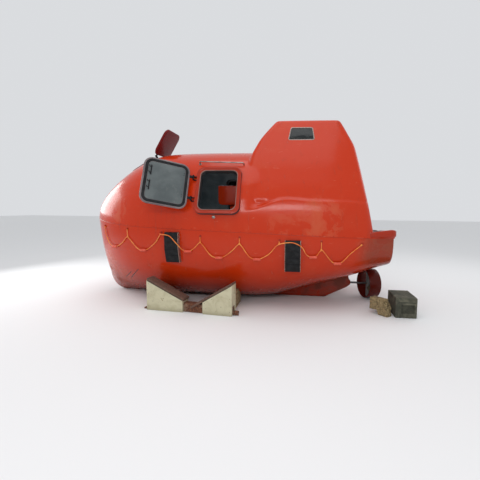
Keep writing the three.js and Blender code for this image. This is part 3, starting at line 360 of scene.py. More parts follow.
def inset(outline, amount):
    """The outline moved inwards along its mitres."""
    moved = []
    for i, point in enumerate(outline):
        before = (point - outline[i - 1]).normalized()
        after = (outline[(i + 1) % len(outline)] - point).normalized()
        normals = Vector((-before.y, before.x)), Vector((-after.y, after.x))
        turn = max(normals[0].dot(normals[1]), -0.5)
        moved.append(point + (normals[0] + normals[1]) * amount / (1 + turn))
    return moved


def slab(outline, low, high, radius=0.0, steps=3):
    """A flat piece of a given outline with rounded-over edges."""
    outline = [Vector(p) for p in outline]
    if radius <= 0:
        return loft([raised(outline, z) for z in (low, high)])
    rings = []
    for end, sign in ((low, 1), (high, -1)):
        side = []
        for k in range(steps + 1):
            a = pi / 2 * k / steps
            moved = inset(outline, radius * (1 - cos(a)))
            side.append(raised(moved, end + sign * radius * (1 - sin(a))))
        rings += side[::-1] if sign > 0 else side
    return loft(rings)


def framed(outline_at, profile):
    """A frame whose profile gives how far in and how high each of its edges lies."""
    return loft([raised(outline_at(amount), height) for amount, height in profile], closed=True)


def swept_frame(outline, profile):
    return framed(lambda amount: inset(outline, amount), profile)


def hatch_frame(h, profile):
    """A coaming whose corners change evenly from its own radius to that of its opening."""
    across = (h["width"] - h["open_width"]) / 2

    def outline_at(amount):
        corner = lerp(h["corner"], h["open_corner"], clamp(amount / across, 0, 1))
        return rounded_rectangle(h["width"] - 2 * amount, h["height"] - 2 * amount, corner, 10)

    return framed(outline_at, profile)


def box(low, high, radius=3.0):
    """A block with its long edges rounded over."""
    middle = [(a + b) / 2 for a, b in zip(low, high)]
    size = [b - a for a, b in zip(low, high)]
    small = min(radius, min(size) / 2.5)
    outline = rounded_rectangle(size[0], size[1], small, 2)
    return slab(outline, -size[2] / 2, size[2] / 2, small, 2).at(*middle)


def turned_profile(profile, sides=32):
    """A round piece from a closed profile of radius and height, about the z axis."""
    rings = [[Vector((r * cos(a), r * sin(a), z)) for r, z in profile] for a in circle(sides)]
    return loft(rings, closed=True)


def disc(radius, low, high, edge=1.5, sides=20):
    outline = [Vector((radius * cos(a), radius * sin(a))) for a in circle(sides)]
    return slab(outline, low, high, edge, 2)


def tube(path, radius, sides=12, strands=0, twist=0.0, groove=0.0):
    """A round section along a path. Strands make it a laid rope."""
    path = [Vector(p) for p in path]
    last = len(path) - 1
    tangents = [(path[min(i + 1, last)] - path[max(i - 1, 0)]).normalized() for i in range(len(path))]
    normal = tangents[0].orthogonal().normalized()
    rings, run = [], 0.0
    for i, point in enumerate(path):
        run += (point - path[i - 1]).length if i else 0
        normal = (normal - tangents[i] * normal.dot(tangents[i])).normalized()
        other = tangents[i].cross(normal)
        ring = []
        for a in circle(sides):
            r = radius
            if strands:
                r -= groove * abs(cos(strands / 2 * (a + twist * run))) ** 3
            ring.append(point + (normal * cos(a) + other * sin(a)) * r)
        rings.append(ring)
    return loft(rings)


def bent_path(corners, radius, steps=6):
    """A path through corners with each bend rounded."""
    corners = [Vector(c) for c in corners]
    path = [corners[0]]
    for a, b, c in zip(corners, corners[1:], corners[2:]):
        start = b + (a - b).normalized() * radius
        end = b + (c - b).normalized() * radius
        path += [start.lerp(b, t).lerp(b.lerp(end, t), t) for t in (k / steps for k in range(steps + 1))]
    return path + [corners[-1]]


# Pieces
def shade(obj, angle=34):
    """Smooth faces with sharp edges where the surface turns by more than an angle."""
    mesh = bmesh.new()
    mesh.from_mesh(obj.data)
    bmesh.ops.recalc_face_normals(mesh, faces=mesh.faces)
    for face in mesh.faces:
        face.smooth = True
    for edge in mesh.edges:
        edge.smooth = len(edge.link_faces) == 2 and edge.calc_face_angle(pi) < radians(angle)
    mesh.to_mesh(obj.data)
    mesh.free()


def bare(name, shape):
    mesh = bpy.data.meshes.new(name)
    mesh.from_pydata([p * MM for p in shape.points], [], shape.faces)
    obj = linked(name, mesh)
    shade(obj)
    return obj


def settle(obj, finish, body="hull", angle=34, stands_for=()):
    """Gives a mesh its finish and its body, and hides the CAD nodes it stands for."""
    shade(obj, angle)
    obj.data.materials.clear()
    obj.data.materials.append(finish.material)
    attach(obj, body)
    if stands_for:
        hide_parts(*([stands_for] if isinstance(stands_for, str) else stands_for))
    return obj


def piece(name, shape, finish, body="hull", angle=34, stands_for=()):
    return settle(bare(name, shape), finish, body, angle, stands_for)


def freeze(obj):
    """Applies an object's modifiers."""
    bpy.context.view_layer.update()
    mesh = bpy.data.meshes.new_from_object(obj.evaluated_get(bpy.context.evaluated_depsgraph_get()))
    obj.modifiers.clear()
    old, obj.data = obj.data, mesh
    bpy.data.meshes.remove(old)


def combine(obj, tools, operation="DIFFERENCE"):
    """Cuts or joins tools, and removes them."""
    for tool in tools:
        before = len(obj.data.polygons), len(obj.data.vertices)
        for solver in ("MANIFOLD", "EXACT"):
            step = obj.modifiers.new("cut", "BOOLEAN")
            step.operation, step.solver, step.object = operation, solver, tool
            freeze(obj)
            if (len(obj.data.polygons), len(obj.data.vertices)) != before:
                break
        bpy.data.objects.remove(tool)
    return obj


def carried(obj, place):
    """Moves a mesh to a place given in millimetres."""
    obj.data.transform(Matrix.Translation(place.to_translation() * MM) @ place.to_3x3().to_4x4())


def moulded(obj, cell, rounds=0):
    """Melts joined shapes into one skin, and softens its corners in some rounds."""
    skin = obj.modifiers.new("skin", "REMESH")
    skin.mode, skin.voxel_size = "VOXEL", cell * MM
    if rounds:
        soften = obj.modifiers.new("soften", "SMOOTH")
        soften.factor, soften.iterations = 0.5, rounds
    freeze(obj)


def eased(node, name, finish, width, segments=2):
    """A CAD node's own shape with its edges rounded over."""
    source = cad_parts[node].data
    mesh = bpy.data.meshes.new(name)
    mesh.from_pydata([v.co for v in source.vertices], [], [tuple(p.vertices) for p in source.polygons])
    tidy = bmesh.new()
    tidy.from_mesh(mesh)
    bmesh.ops.remove_doubles(tidy, verts=tidy.verts, dist=0.00005)
    bmesh.ops.dissolve_limit(tidy, angle_limit=radians(1.5), verts=tidy.verts, edges=tidy.edges)
    tidy.to_mesh(mesh)
    tidy.free()
    obj = linked(name, mesh)
    bevel = obj.modifiers.new("ease", "BEVEL")
    bevel.width, bevel.segments = width * MM, segments
    bevel.limit_method, bevel.angle_limit = "ANGLE", radians(32)
    freeze(obj)
    return settle(obj, finish, stands_for=node)


# Finishes
def worked(operation, swapped=False):
    """An operator that adds a Math node."""
    def method(self, *others):
        values = (*others, self) if swapped else (self, *others)
        return self.finish.add("Math", {"operation": operation}, dict(enumerate(values)))
    return method


class Reading:
    """A value that varies over a surface, with arithmetic."""
    __add__ = __radd__ = worked("ADD")
    __mul__ = __rmul__ = worked("MULTIPLY")
    __sub__, __rsub__ = worked("SUBTRACT"), worked("SUBTRACT", swapped=True)
    __abs__, or_more = worked("ABSOLUTE"), worked("MAXIMUM")

    def __init__(self, finish, socket):
        self.finish, self.socket = finish, socket


def paint(red, green, blue):
    """A colour given as it looks on a screen, 0 to 255."""
    return tuple((c / 255 / 12.92 if c <= 10 else ((c / 255 + 0.055) / 1.055) ** 2.4)
                 for c in (red, green, blue)) + (1,)


class Finish:
    """One material, with its own helpers for what varies over the surface."""

    def __init__(self, name, slot, **uniform):
        self.slot = slot
        self.material = bpy.data.materials.new(name)
        self.material.use_nodes = True
        self.tree = self.material.node_tree
        self.shader = self.tree.nodes["Principled BSDF"]
        self.place = self.add("TexCoord", out="Object")
        self.connect(**uniform)

    def feed(self, socket, value):
        if isinstance(value, Reading):
            self.tree.links.new(value.socket, socket)
        else:
            socket.default_value = value

    def connect(self, **values):
        """Gives the shader's sockets their values."""
        for socket, value in values.items():
            self.feed(self.shader.inputs[socket.replace("_", " ")], value)

    def add(self, kind, settings=None, sockets=None, out=0):
        node = self.tree.nodes.new("ShaderNode" + kind)
        for setting, value in (settings or {}).items():
            setattr(node, setting, value)
        for socket, value in (sockets or {}).items():
            self.feed(node.inputs[socket], value)
        return Reading(self, node.outputs[out])

    def stretched(self, x, y, z):
        return self.add("VectorMath", {"operation": "MULTIPLY"}, {0: self.place, 1: (x, y, z)})

    def axis(self, letter):
        return self.add("SeparateXYZ", None, {0: self.place}, out="XYZ".index(letter))

    def noise(self, scale, detail=4.0, roughness=0.55, distortion=0.0, at=None):
        return self.add("TexNoise", None, {
            "Vector": at or self.place, "Scale": scale, "Detail": detail, "Roughness": roughness,
            "Distortion": distortion})

    def cells(self, scale, feature="F1"):
        return self.add("TexVoronoi", {"feature": feature}, {"Vector": self.place, "Scale": scale})

    def band(self, value, low, high):
        """0 below low and 1 above high, smooth between."""
        if low > high:
            return 1 - self.band(value, high, low)
        return self.add("MapRange", {"interpolation_type": "SMOOTHSTEP"}, {
            "Value": value, "From Min": low, "From Max": high, "To Min": 0, "To Max": 1})

    def patches(self, low, high, *grain, at=None):
        """1 where a noise of this grain is high, 0 where it is low."""
        return self.band(self.noise(*grain, at=at), low, high)

    def near(self, place, reach):
        """1 close to a place on the object, 0 beyond its reach."""
        away = self.add("VectorMath", {"operation": "DISTANCE"}, {0: self.place, 1: place}, out="Value")
        return self.band(away, reach, reach / 2)

    def streak(self, start, end, width):
        """1 along a short straight mark in the plane that the side of the boat shows."""
        start, end = Vector(start), Vector(end)
        run = end - start
        length = run.length
        run.normalize()
        x, z = self.axis("X") - start.x, self.axis("Z") - start.z
        beside = abs(x * run.z - z * run.x)
        on = x * run.x + z * run.z
        begun, ended = self.band(on, -width, width), self.band(on, length + width, length - width)
        return self.band(beside, width, width * 0.4) * begun * ended

    def mix(self, a, b, factor):
        """The second colour over the first. A colour without alpha is given as it looks on a screen."""
        a, b = (paint(*c) if isinstance(c, tuple) else c for c in (a, b))
        return self.add("Mix", {"data_type": "RGBA"}, {0: factor, 6: a, 7: b}, out=2)

    def wear(self, colour, roughness, heights, depth=0.002, strength=0.6, **more):
        """Connects what varies to the shader. Heights are summed into one bump."""
        relief = sum(heights[1:], heights[0])
        bump = self.add("Bump", None, {"Strength": strength, "Distance": depth, "Height": relief})
        self.connect(Base_Color=colour, Roughness=roughness, Normal=bump, **more)
        return self


ORANGE, FADED = (190, 48, 8), (194, 86, 52)


def gelcoat(name, fresh=ORANGE, faded=FADED, slot="gelcoat", gloss=0.22, marks=(), stains_and_shade=(), scratches=(),
            dull=(), painted_low_shade=False):
    """Orange moulded skin: gloss with waves, chalky fading, runs of dirt, scuffs, scratches, and painted
    shade where asked.
    """
    f = Finish(name, slot, Coat_Roughness=0.1, IOR=1.5, Specular_IOR_Level=gloss)
    broad = f.noise(1.1, 3, 0.6)
    cloud = f.noise(4.5, 6, 0.65, 0.6)
    scuffs = f.patches(0.655, 0.72, 7, 8, 0.7, 2.2, at=f.stretched(0.5, 0.5, 3.2))
    hairs = f.patches(0.70, 0.74, 15, 2, 0.5, 1.2, at=f.stretched(0.4, 0.4, 2.6))
    chalk = f.band(cloud * 0.6 + broad * 0.4, 0.50, 0.72) * 0.20
    for place, reach, weight in marks:
        chalk = chalk.or_more(f.near(place, reach) * f.band(cloud, 0.40, 0.62) * weight)
    colour = f.mix(fresh, faded, chalk)
    colour = f.mix(colour, (228, 170, 140), (scuffs * 0.14).or_more(hairs * 0.12))
    dirt_and_shade = f.patches(0.56, 0.78, 3.0, 5, 0.6, at=f.stretched(5, 5, 0.45)) * 0.22
    if painted_low_shade:
        # Painted shade: the colour darkens towards the bottom, and patchy darkening low down joins the dirt
        # and shade mask.
        colour = f.mix(colour, (112, 28, 12), f.band(f.axis("Z") + broad * 0.1, 0.86, 0.06) * 0.62)
        low = f.band(f.axis("Z") + cloud * 0.35, 0.62, 0.14)
        dirt_and_shade = dirt_and_shade.or_more(low * f.band(cloud, 0.32, 0.70) * 0.5)
    # Darker patches round given places, added to the dirt and shade mask.
    for place, reach, weight in stains_and_shade:
        dirt_and_shade = dirt_and_shade.or_more(f.near(place, reach) * f.band(cloud, 0.36, 0.60) * weight)
    colour = f.mix(colour, (74, 44, 34), dirt_and_shade)
    # Painted shade: a brownish darkening round given places.
    for place, reach, weight in dull:
        colour = f.mix(colour, (104, 56, 42), f.near(place, reach) * (cloud * 0.5 + 0.5) * weight)
    colour = f.mix(colour, (206, 92, 58), f.patches(0.63, 0.74, 90, 3, 0.6) * 0.10)
    heights = [f.noise(5.5, 2, 0.4), f.noise(240, 2, 0.5) * 0.03, scuffs * -0.03]
    for start, end, width in scratches:
        cut = f.streak(start, end, width)
        colour = f.mix(colour, (60, 24, 20), cut * 0.9)
        heights.append(cut * -0.4)
    rough = 0.2 + chalk * 0.45 + dirt_and_shade * 0.55 + scuffs * 0.12
    return f.wear(colour, rough, heights, 0.004, 0.5, Coat_Weight=gloss * 0.7 - dirt_and_shade * 0.15)


hull_gelcoat = gelcoat(
    "hull_gelcoat", painted_low_shade=True,
    marks=[((2.30, -0.93, 1.0), 0.4, 0.45), ((-2.05, -0.55, 0.42), 0.50, 0.55),
           ((2.36, 0.93, 0.98), 0.4, 0.5)],
    # Painted shade by the skeg and under the stern; the first patch darkens the forefoot.
    stains_and_shade=[((-2.16, -0.35, 0.30), 0.28, 0.35), ((1.95, 0.0, 0.30), 0.55, 0.6), ((1.5, 0.0, 0.1), 0.5, 0.6)],
    # Painted shade at both stern quarters and by the skeg.
    dull=[((2.56, -0.95, 0.90), 0.66, 0.85), ((2.56, 0.95, 0.90), 0.6, 0.7), ((1.85, 0.0, 0.25), 0.4, 0.5)],
    scratches=[((-1.80, -0.60, 0.335), (-1.615, -0.70, 0.455), 0.008),
               ((-1.66, -0.65, 0.345), (-1.475, -0.80, 0.485), 0.008)],
)
canopy_gelcoat = gelcoat(
    "canopy_gelcoat",
    marks=[((1.45, -1.05, 1.38), 0.42, 0.65), ((-1.62, -0.93, 1.50), 0.26, 0.55),
           ((0.9, -1.05, 1.25), 0.3, 0.4), ((0.3, 0.0, 2.47), 0.7, 0.4)],
)
lid_gelcoat = gelcoat("lid_gelcoat")
# Painted shade: a darker copy of the orange gelcoat for the bow lid, whose face stands in shade; its inside
# and catches share it.
shaded_lid_gelcoat = gelcoat("shaded_lid_gelcoat", (106, 22, 22), (124, 48, 42), "shaded_gelcoat", gloss=0.1)
# Painted shade: a darker copy of the orange gelcoat for the nozzle, which lies in shade under the stern.
shaded_nozzle_gelcoat = gelcoat("shaded_nozzle_gelcoat", (80, 22, 15), (96, 42, 34), "shaded_gelcoat", gloss=0.1)
# A darker copy of the orange gelcoat, painted shade on the hatch rims; the quarter rim, seam and pad-eyes
# share it.
shaded_orange_gelcoat = gelcoat("shaded_orange_gelcoat", (160, 42, 18), (170, 76, 54))


def moulded_grey(name, light, dark, rough=0.48, lumps=14.0):
    """Painted laminate inside: blotched, with a resin texture and dusty marks."""
    f = Finish(name, "liner", Specular_IOR_Level=0.3)
    dust = f.patches(0.56, 0.70, 11, 7, 0.7, 1.0)
    colour = f.mix(dark, light, f.patches(0.34, 0.66, 3.2, 6, 0.6, 0.4))
    colour = f.mix(colour, (150, 148, 140), dust * 0.16)
    weave = f.noise(lumps * 12, 3, 0.65) * 0.25
    return f.wear(colour, rough + dust * 0.2, [f.noise(lumps, 3, 0.5), weave], 0.002, 0.35)


inner_skin = moulded_grey("inner_skin", (136, 150, 156), (102, 116, 123), 0.6)
liner_grey = moulded_grey("liner_grey", (94, 101, 101), (78, 85, 86), 0.34, 8)
bench_grey = moulded_grey("bench_grey", (128, 130, 126), (92, 96, 95), 0.55)
lid_edge_grey = moulded_grey("lid_edge_grey", (126, 114, 114), (100, 88, 90), 0.5, 20)
return_grey = moulded_grey("return_grey", (66, 66, 68), (44, 48, 50), 0.6, 20)
lip_grey = moulded_grey("lip_grey", (150, 112, 102), (124, 84, 74), 0.5, 20)


def old_rubber():
    """Black rubber: greyed, dusty in its hollows, with cracks and rub marks."""
    f = Finish("black_rubber", "rubber", Specular_IOR_Level=0.25)
    age = f.noise(14, 6, 0.65, 0.3)
    rub = f.patches(0.60, 0.72, 30, 6, 0.7, 1.6, at=f.stretched(1, 1, 0.4))
    crack = f.band(f.cells(70, "DISTANCE_TO_EDGE"), 0.05, 0.0)
    colour = f.mix((13, 14, 16), (34, 35, 37), f.band(age, 0.36, 0.66))
    colour = f.mix(colour, (120, 112, 104), rub * 0.24)
    return f.wear(colour, 0.55 + age * 0.3, [age * 0.6, crack * -0.5, f.noise(260, 2) * 0.1], 0.001, 0.5)


def laid_rope():
    """Laid orange rope, sun-bleached, with dark dirt between its strands."""
    f = Finish("orange_rope", "rope", Sheen_Weight=0.25)
    fibre = f.noise(900, 3, 0.7)
    colour = f.mix((224, 104, 30), (240, 154, 70), f.patches(0.40, 0.66, 7, 4, 0.6))
    colour = f.mix(colour, (104, 52, 30), f.band(fibre, 0.58, 0.72) * 0.45)
    return f.wear(colour, 0.82 + fibre * 0.1, [fibre], 0.0006, 0.7)


def pitted(name, slot, dark, light, grain, turn, pits, rough, bumps, depth, strength):
    """Foam or plastic, worn lighter in patches and pitted all over."""
    f = Finish(name, slot)
    worn = f.noise(*grain)
    colour = f.mix(dark, light, f.band(worn, *turn))
    return f.wear(colour, 0.5 + worn * rough, [worn * bumps[0], f.cells(pits) * bumps[1]], depth, strength)


black_rubber = old_rubber()
orange_rope = laid_rope()
float_foam = pitted("float_foam", "rope", (212, 74, 50), (226, 122, 98), (22, 6, 0.65), (0.44, 0.70), 420,
                    0.3, (0.5, 0.3), 0.0008, 0.6)


def metal(name, bright, dull, rust, rough, streaks=(1, 1, 1), slot="steel"):
    """Bare or plated metal with handling marks, and rust where it is asked for."""
    f = Finish(name, slot)
    grain = f.noise(60, 5, 0.65, at=f.stretched(*streaks))
    pit = f.noise(160, 4, 0.7)
    colour = f.mix(dull, bright, f.band(grain, 0.34, 0.66))
    rusty = f.band(f.noise(9, 6, 0.7, 0.5) * 0.65 + pit * 0.35, 0.66 - rust * 0.30, 0.74 - rust * 0.24)
    oxide = f.mix((92, 52, 34), (142, 84, 50), f.band(pit, 0.40, 0.62))
    return f.wear(f.mix(colour, oxide, rusty), rough + grain * 0.16 + rusty * 0.4,
                  [grain * 0.3, rusty * pit * 1.4], 0.0012, 0.5, Metallic=0.95 - rusty * 0.9)


rail_steel = metal("rail_steel", (176, 172, 168), (112, 106, 102), 0.15, 0.28, (0.2, 1, 1))
hinge_black = metal("hinge_black", (52, 52, 54), (30, 30, 32), 0.25, 0.45)
shaft_steel = metal("shaft_steel", (120, 122, 124), (70, 72, 74), 0.3, 0.35, (0.1, 1, 1))
cheek_metal = metal("cheek_metal", (196, 178, 166), (124, 102, 90), 0.4, 0.5)
bronze = metal("old_bronze", (112, 92, 60), (62, 52, 38), 0.1, 0.5, slot="bronze")
trim_metal = metal("trim_metal", (172, 162, 154), (128, 118, 112), 0.1, 0.45)


def flaking_steel():
    """The stands' beams: flaking paint over scale."""
    f = Finish("rusty_steel", "rusty_steel", Metallic=0.05)
    scale = f.noise(46, 8, 0.72)
    speck = f.cells(120)
    flake = f.band(f.noise(6, 7, 0.7, 0.6) * 0.6 + scale * 0.4, 0.49, 0.54)
    rust_tone = f.mix((70, 44, 34), (134, 82, 54), f.band(scale, 0.38, 0.64))
    colour = f.mix(rust_tone, (132, 108, 88), flake * 0.85)
    colour = f.mix(colour, (40, 30, 26), f.band(speck, 0.16, 0.04) * 0.5)
    return f.wear(colour, 0.86 - flake * 0.2, [scale * 0.8, flake * 0.8, speck * 0.2], 0.003, 0.7)


def old_timber(name, slot, light, dark, grain, ring_scale=9.0, painted=None):
    """Weathered timber with grain along its length, cracks and, on a board, remains of paint."""
    f = Finish(name, slot)
    lengthways = f.stretched(*grain)
    waves = f.noise(ring_scale, 8, 0.62, 1.4, at=lengthways)
    fibre = f.noise(ring_scale * 9, 5, 0.7, 0.2, at=lengthways)
    crack = f.patches(0.68, 0.76, ring_scale * 2.2, 4, 0.5, 0.8, at=lengthways)
    colour = f.mix(dark, light, f.band(waves * 0.6 + fibre * 0.4, 0.38, 0.62))
    colour = f.mix(colour, (46, 38, 30), crack * 0.75)
    rough, heights = 0.84, [waves * 0.6, fibre * 0.5, crack * -1.2]
    if painted:
        stain = f.noise(5, 7, 0.7, 1.0)
        spots = f.band(f.cells(17), 0.13, 0.06) * f.patches(0.44, 0.56, 2.6, 3)
        peel = f.patches(0.645, 0.665, 9, 8, 0.72, 0.5)
        damp = f.band(f.axis("Z") + stain * 0.12, 0.14, 0.03)
        coat = f.mix(painted, (172, 164, 132), f.band(stain, 0.44, 0.74))
        coat = f.mix(coat, (104, 90, 60), (f.band(stain, 0.66, 0.80) * 0.5).or_more(damp * 0.5))
        coat = f.mix(coat, (58, 50, 38), spots * 0.8)
        colour = f.mix(coat, colour, peel)
        rough = 0.62 + peel * 0.25
        heights = [fibre * 0.25, waves * 0.2, peel * -0.8, spots * -0.3]
    return f.wear(colour, rough, heights, 0.0025)


rusty_steel = flaking_steel()
cream_board = old_timber("cream_board", "cream_board", (150, 128, 92), (108, 90, 64), (1, 1, 9),
                         painted=(196, 190, 160))
chock_timber = old_timber("chock_timber", "timber", (168, 146, 106), (112, 92, 64), (9, 1, 9), 6)
# Painted shade: the bearers' tones are darkened to their shaded look under the hull.
shaded_bearer_timber = old_timber("shaded_bearer_timber", "rusty_steel", (122, 90, 74), (70, 50, 42), (1.2, 9, 9), 8)
stern_wood = old_timber("stern_wood", "timber", (172, 152, 110), (74, 60, 40), (0.8, 6, 6), 7)


def old_concrete():
    """Damp concrete, dark and greenish, with pores and pale chips, and painted shade in its recess and
    groove.
    """
    f = Finish("old_concrete", "concrete")
    broad = f.noise(5, 8, 0.7, 0.4)
    sand = f.noise(150, 5, 0.7)
    pores = f.band(f.cells(44), 0.20, 0.10)
    colour = f.mix((60, 60, 50), (104, 102, 86), f.band(broad, 0.36, 0.66))
    colour = f.mix(colour, (56, 66, 42), f.patches(0.54, 0.68, 8, 6, 0.7, 0.8) * 0.35)
    colour = f.mix(colour, (132, 130, 116), f.band(sand, 0.60, 0.70) * 0.35)
    colour = f.mix(colour, (34, 34, 28), pores * 0.7)
    # Painted shade: darker in the recess and in the groove of the face.
    recess = f.band(abs(f.axis("X") - 2.712), 0.094, 0.084) * f.band(abs(f.axis("Z") - 0.128), 0.066, 0.056)
    groove = f.band(abs(f.axis("X") - 2.70), 0.126, 0.116) * f.band(abs(f.axis("Z") - 0.226), 0.012, 0.006)
    colour = f.mix(colour, (42, 44, 36), (recess * 0.5).or_more(groove * 0.6))
    return f.wear(colour, 0.9 + broad * 0.05, [broad * 0.6, sand * 0.3, pores * -0.8], 0.003, 0.8)


def glazing():
    """Dark pane, dusty in patches and smeared."""
    f = Finish("dark_pane", "glazing", IOR=1.5, Specular_IOR_Level=0.4)
    dust = f.noise(18, 7, 0.7, 0.6)
    smear = f.noise(5, 4, 0.6, 2.0, at=f.stretched(1, 1, 4))
    colour = f.mix((20, 25, 26), (66, 74, 74), f.band(dust * 0.5 + smear * 0.5, 0.50, 0.72) * 0.4)
    return f.wear(colour, 0.06 + f.band(dust, 0.46, 0.72) * 0.35, [smear * 0.2], 0.001, 0.2)


def engine_enamel():
    """Green enamel, grimy and chipped."""
    f = Finish("engine_enamel", "engine_paint")
    grime = f.noise(9, 7, 0.7, 0.8)
    chip = f.patches(0.66, 0.69, 40, 6, 0.7)
    colour = f.mix((84, 104, 96), (46, 50, 46), f.band(grime, 0.42, 0.68))
    colour = f.mix(colour, (120, 78, 52), chip)
    return f.wear(colour, 0.34 + grime * 0.3 + chip * 0.3, [grime * 0.4, chip * -0.5], 0.001, 0.5)


def dial_face():
    """Dark glossy dial with dust on it."""
    f = Finish("dial_face", "seat_plastic", Coat_Weight=0.6)
    dust = f.noise(60, 5, 0.7)
    colour = f.mix((18, 20, 22), (60, 62, 62), f.band(dust, 0.52, 0.72) * 0.5)
    return f.wear(colour, 0.2 + dust * 0.2, [dust * 0.2], 0.0004, 0.3)


concrete, dark_pane, engine_green, dial_black = old_concrete(), glazing(), engine_enamel(), dial_face()
moulded_seat = pitted("seat_plastic", "seat_plastic", (34, 34, 37), (72, 72, 74), (12, 6, 0.7, 0.6),
                      (0.48, 0.72), 520, 0.2, (0.3, 0.5), 0.0006, 0.5)


# Grab lines, with their floats. They come before the other pieces.
LINE_RADIUS = 7
GRAB_LINE = rows(
    "x z off",
    (-1984, 1190, 16), (-1978, 1090, 20), (-1912, 950, 20), (-1832, 908, 26), (-1735, 906, 26),
    (-1586, 982, 18), (-1504, 1060, 17), (-1474, 1076, 16), (-1444, 1052, 16), (-1290, 896, 26),
    (-1217, 882, 26), (-1136, 896, 26), (-985, 1014, 16), (-918, 1104, 34), (-886, 1130, 60),
    (-846, 1136, 92), (-735, 1118, 100), (-622, 1000, 98), (-554, 908, 50), (-474, 886, 26),
    (-385, 938, 26), (-320, 1006, 16), (-292, 1020, 16), (-264, 994, 16), (-128, 826, 26),
    (-55, 802, 26), (25, 806, 26), (170, 898, 16), (268, 996, 16), (296, 1012, 16), (324, 988, 16),
    (452, 820, 26), (515, 798, 26), (578, 796, 26), (720, 870, 16), (838, 1000, 30), (880, 1028, 62),
    (930, 1046, 96), (1072, 1058, 100), (1196, 1000, 98), (1268, 882, 46), (1328, 846, 26),
    (1395, 850, 26), (1458, 930, 16), (1486, 948, 16), (1514, 922, 16), (1635, 776, 26),
    (1692, 750, 26), (1762, 758, 26), (1900, 905, 16), (2030, 1016, 16),
)
FLOAT_LENGTH, FLOAT_RADIUS = 112, 21


def smooth_through(points, per_span=14):
    """Centripetal curve through points, as the part draws it."""
    ends = [points[0] * 2 - points[1]] + points + [points[-1] * 2 - points[-2]]
    path = []
    for a, b, c, d in zip(ends, ends[1:], ends[2:], ends[3:]):
        t0, t1, t2 = (max((q - p).length ** 0.5, 1e-4) for p, q in ((a, b), (b, c), (c, d)))
        leave = ((b - a) / t0 - (c - a) / (t0 + t1) + (c - b) / t1) * t1
        reach = ((c - b) / t1 - (d - b) / (t1 + t2) + (d - c) / t2) * t1
        for k in range(per_span):
            t = k / per_span
            path.append(b + leave * t + ((c - b) * 3 - leave * 2 - reach) * t * t
                        + ((b - c) * 2 + leave + reach) * t ** 3)
    return path + [points[-1]]


def spaced(path, step):
    """The same path with points an even step apart."""
    total = sum((b - a).length for a, b in zip(path, path[1:]))
    count = round(total / step)
    even, run, goal = [path[0]], 0.0, total / count
    for a, b in zip(path, path[1:]):
        span = (b - a).length
        while span > 0 and run + span >= goal * len(even) and len(even) < count:
            even.append(a.lerp(b, (goal * len(even) - run) / span))
        run += span
    return even + [path[-1]]


def float_shape():
    half, bore, edge = FLOAT_LENGTH / 2, LINE_RADIUS + 0.6, 7
    profile = [(bore, -half), (bore + 5, -half)]
    profile += [(FLOAT_RADIUS - edge + edge * sin(a), -half + 16 - 14 * cos(a))
                for a in (pi / 2 * k / 4 for k in range(5))]
    profile += [(r, -z) for r, z in reversed(profile[1:])] + [(bore, half)]
    return turned_profile(profile, 20)


line_paths = {}
for side, sign in SIDES.items():
    knots = [Vector((p["x"], sign * (hull_side(p["x"], p["z"]) + p["off"]), p["z"])) for p in GRAB_LINE]
    path = spaced(smooth_through(knots), 6.5)
    line_paths[side] = path
    laid = tube(path, LINE_RADIUS, 12, strands=3, twist=0.11, groove=1.5)
    rope = piece(f"grab_rope_{side}", laid, orange_rope, stands_for=f"grab_line_{side}", angle=60)
    low_points = [i for i in range(30, len(path) - 30)
                  if path[i].z == min(p.z for p in path[i - 28:i + 29])]
    floats = [float_shape().towards(path[i], path[i + 2] - path[i - 2]) for i in low_points]
    beads = piece(f"line_floats_{side}", gathered(floats), float_foam, angle=50)


# Hull
GIRTH = 34


def bow_stations(first, last, bow_count, step):
    """Stations that crowd towards the round of the bow."""
    bow = [first + (ENTRANCE_X - first) * (1 - cos(pi / 2 * k / bow_count))
           for k in range(bow_count)]
    count = ceil((last - ENTRANCE_X) / step)
    return bow + [ENTRANCE_X + (last - ENTRANCE_X) * k / count for k in range(count + 1)]


def both_sides(half, shared=0):
    """A whole ring from one half, with the number of its last points that lie on the centre line."""
    return [Vector((p.x, -p.y, p.z)) for p in half] + half[::-1][shared:]


def hull_ring(x, depth, lift):
    half = [hull_point(x, i / GIRTH, depth) for i in range(GIRTH, -1, -1)]
    return both_sides([half[0] + Vector((0, 0, lift))] + half)


def seam_edge(x):
    z = sheer_height(x)
    return x + rake(x, z), z


def beyond_seam(sign, offset):
    """Everything above or below the seam, for trimming the mouldings."""
    far = 3200 if sign > 0 else -400
    rings = []
    for x in [STEM_X - 300] + bow_stations(STEM_X, STERN_X, 40, 80) + [STERN_X + 300]:
        at, z = seam_edge(clamp(x, STEM_X, STERN_X))
        at += x - clamp(x, STEM_X, STERN_X)
        rings.append([Vector((at, y, height)) for y, height in
                      ((-1500, z + offset), (1500, z + offset), (1500, far), (-1500, far))])
    return bare("trim", loft(rings))


def skin_of(obj):
    """The moulding's outer skin, to measure depths from before it is cut."""
    mesh = obj.data
    return BVHTree.FromPolygons([v.co.copy() for v in mesh.vertices],
                                [list(f.vertices) for f in mesh.polygons])


def two_sided(obj, skin, inner, depth=14):
    """Gives the faces that lie well below the outer skin the inner finish."""
    obj.data.materials.append(inner.material)
    for face in obj.data.polygons:
        if skin.find_nearest(face.center)[3] > depth * MM:
            face.material_index = 1


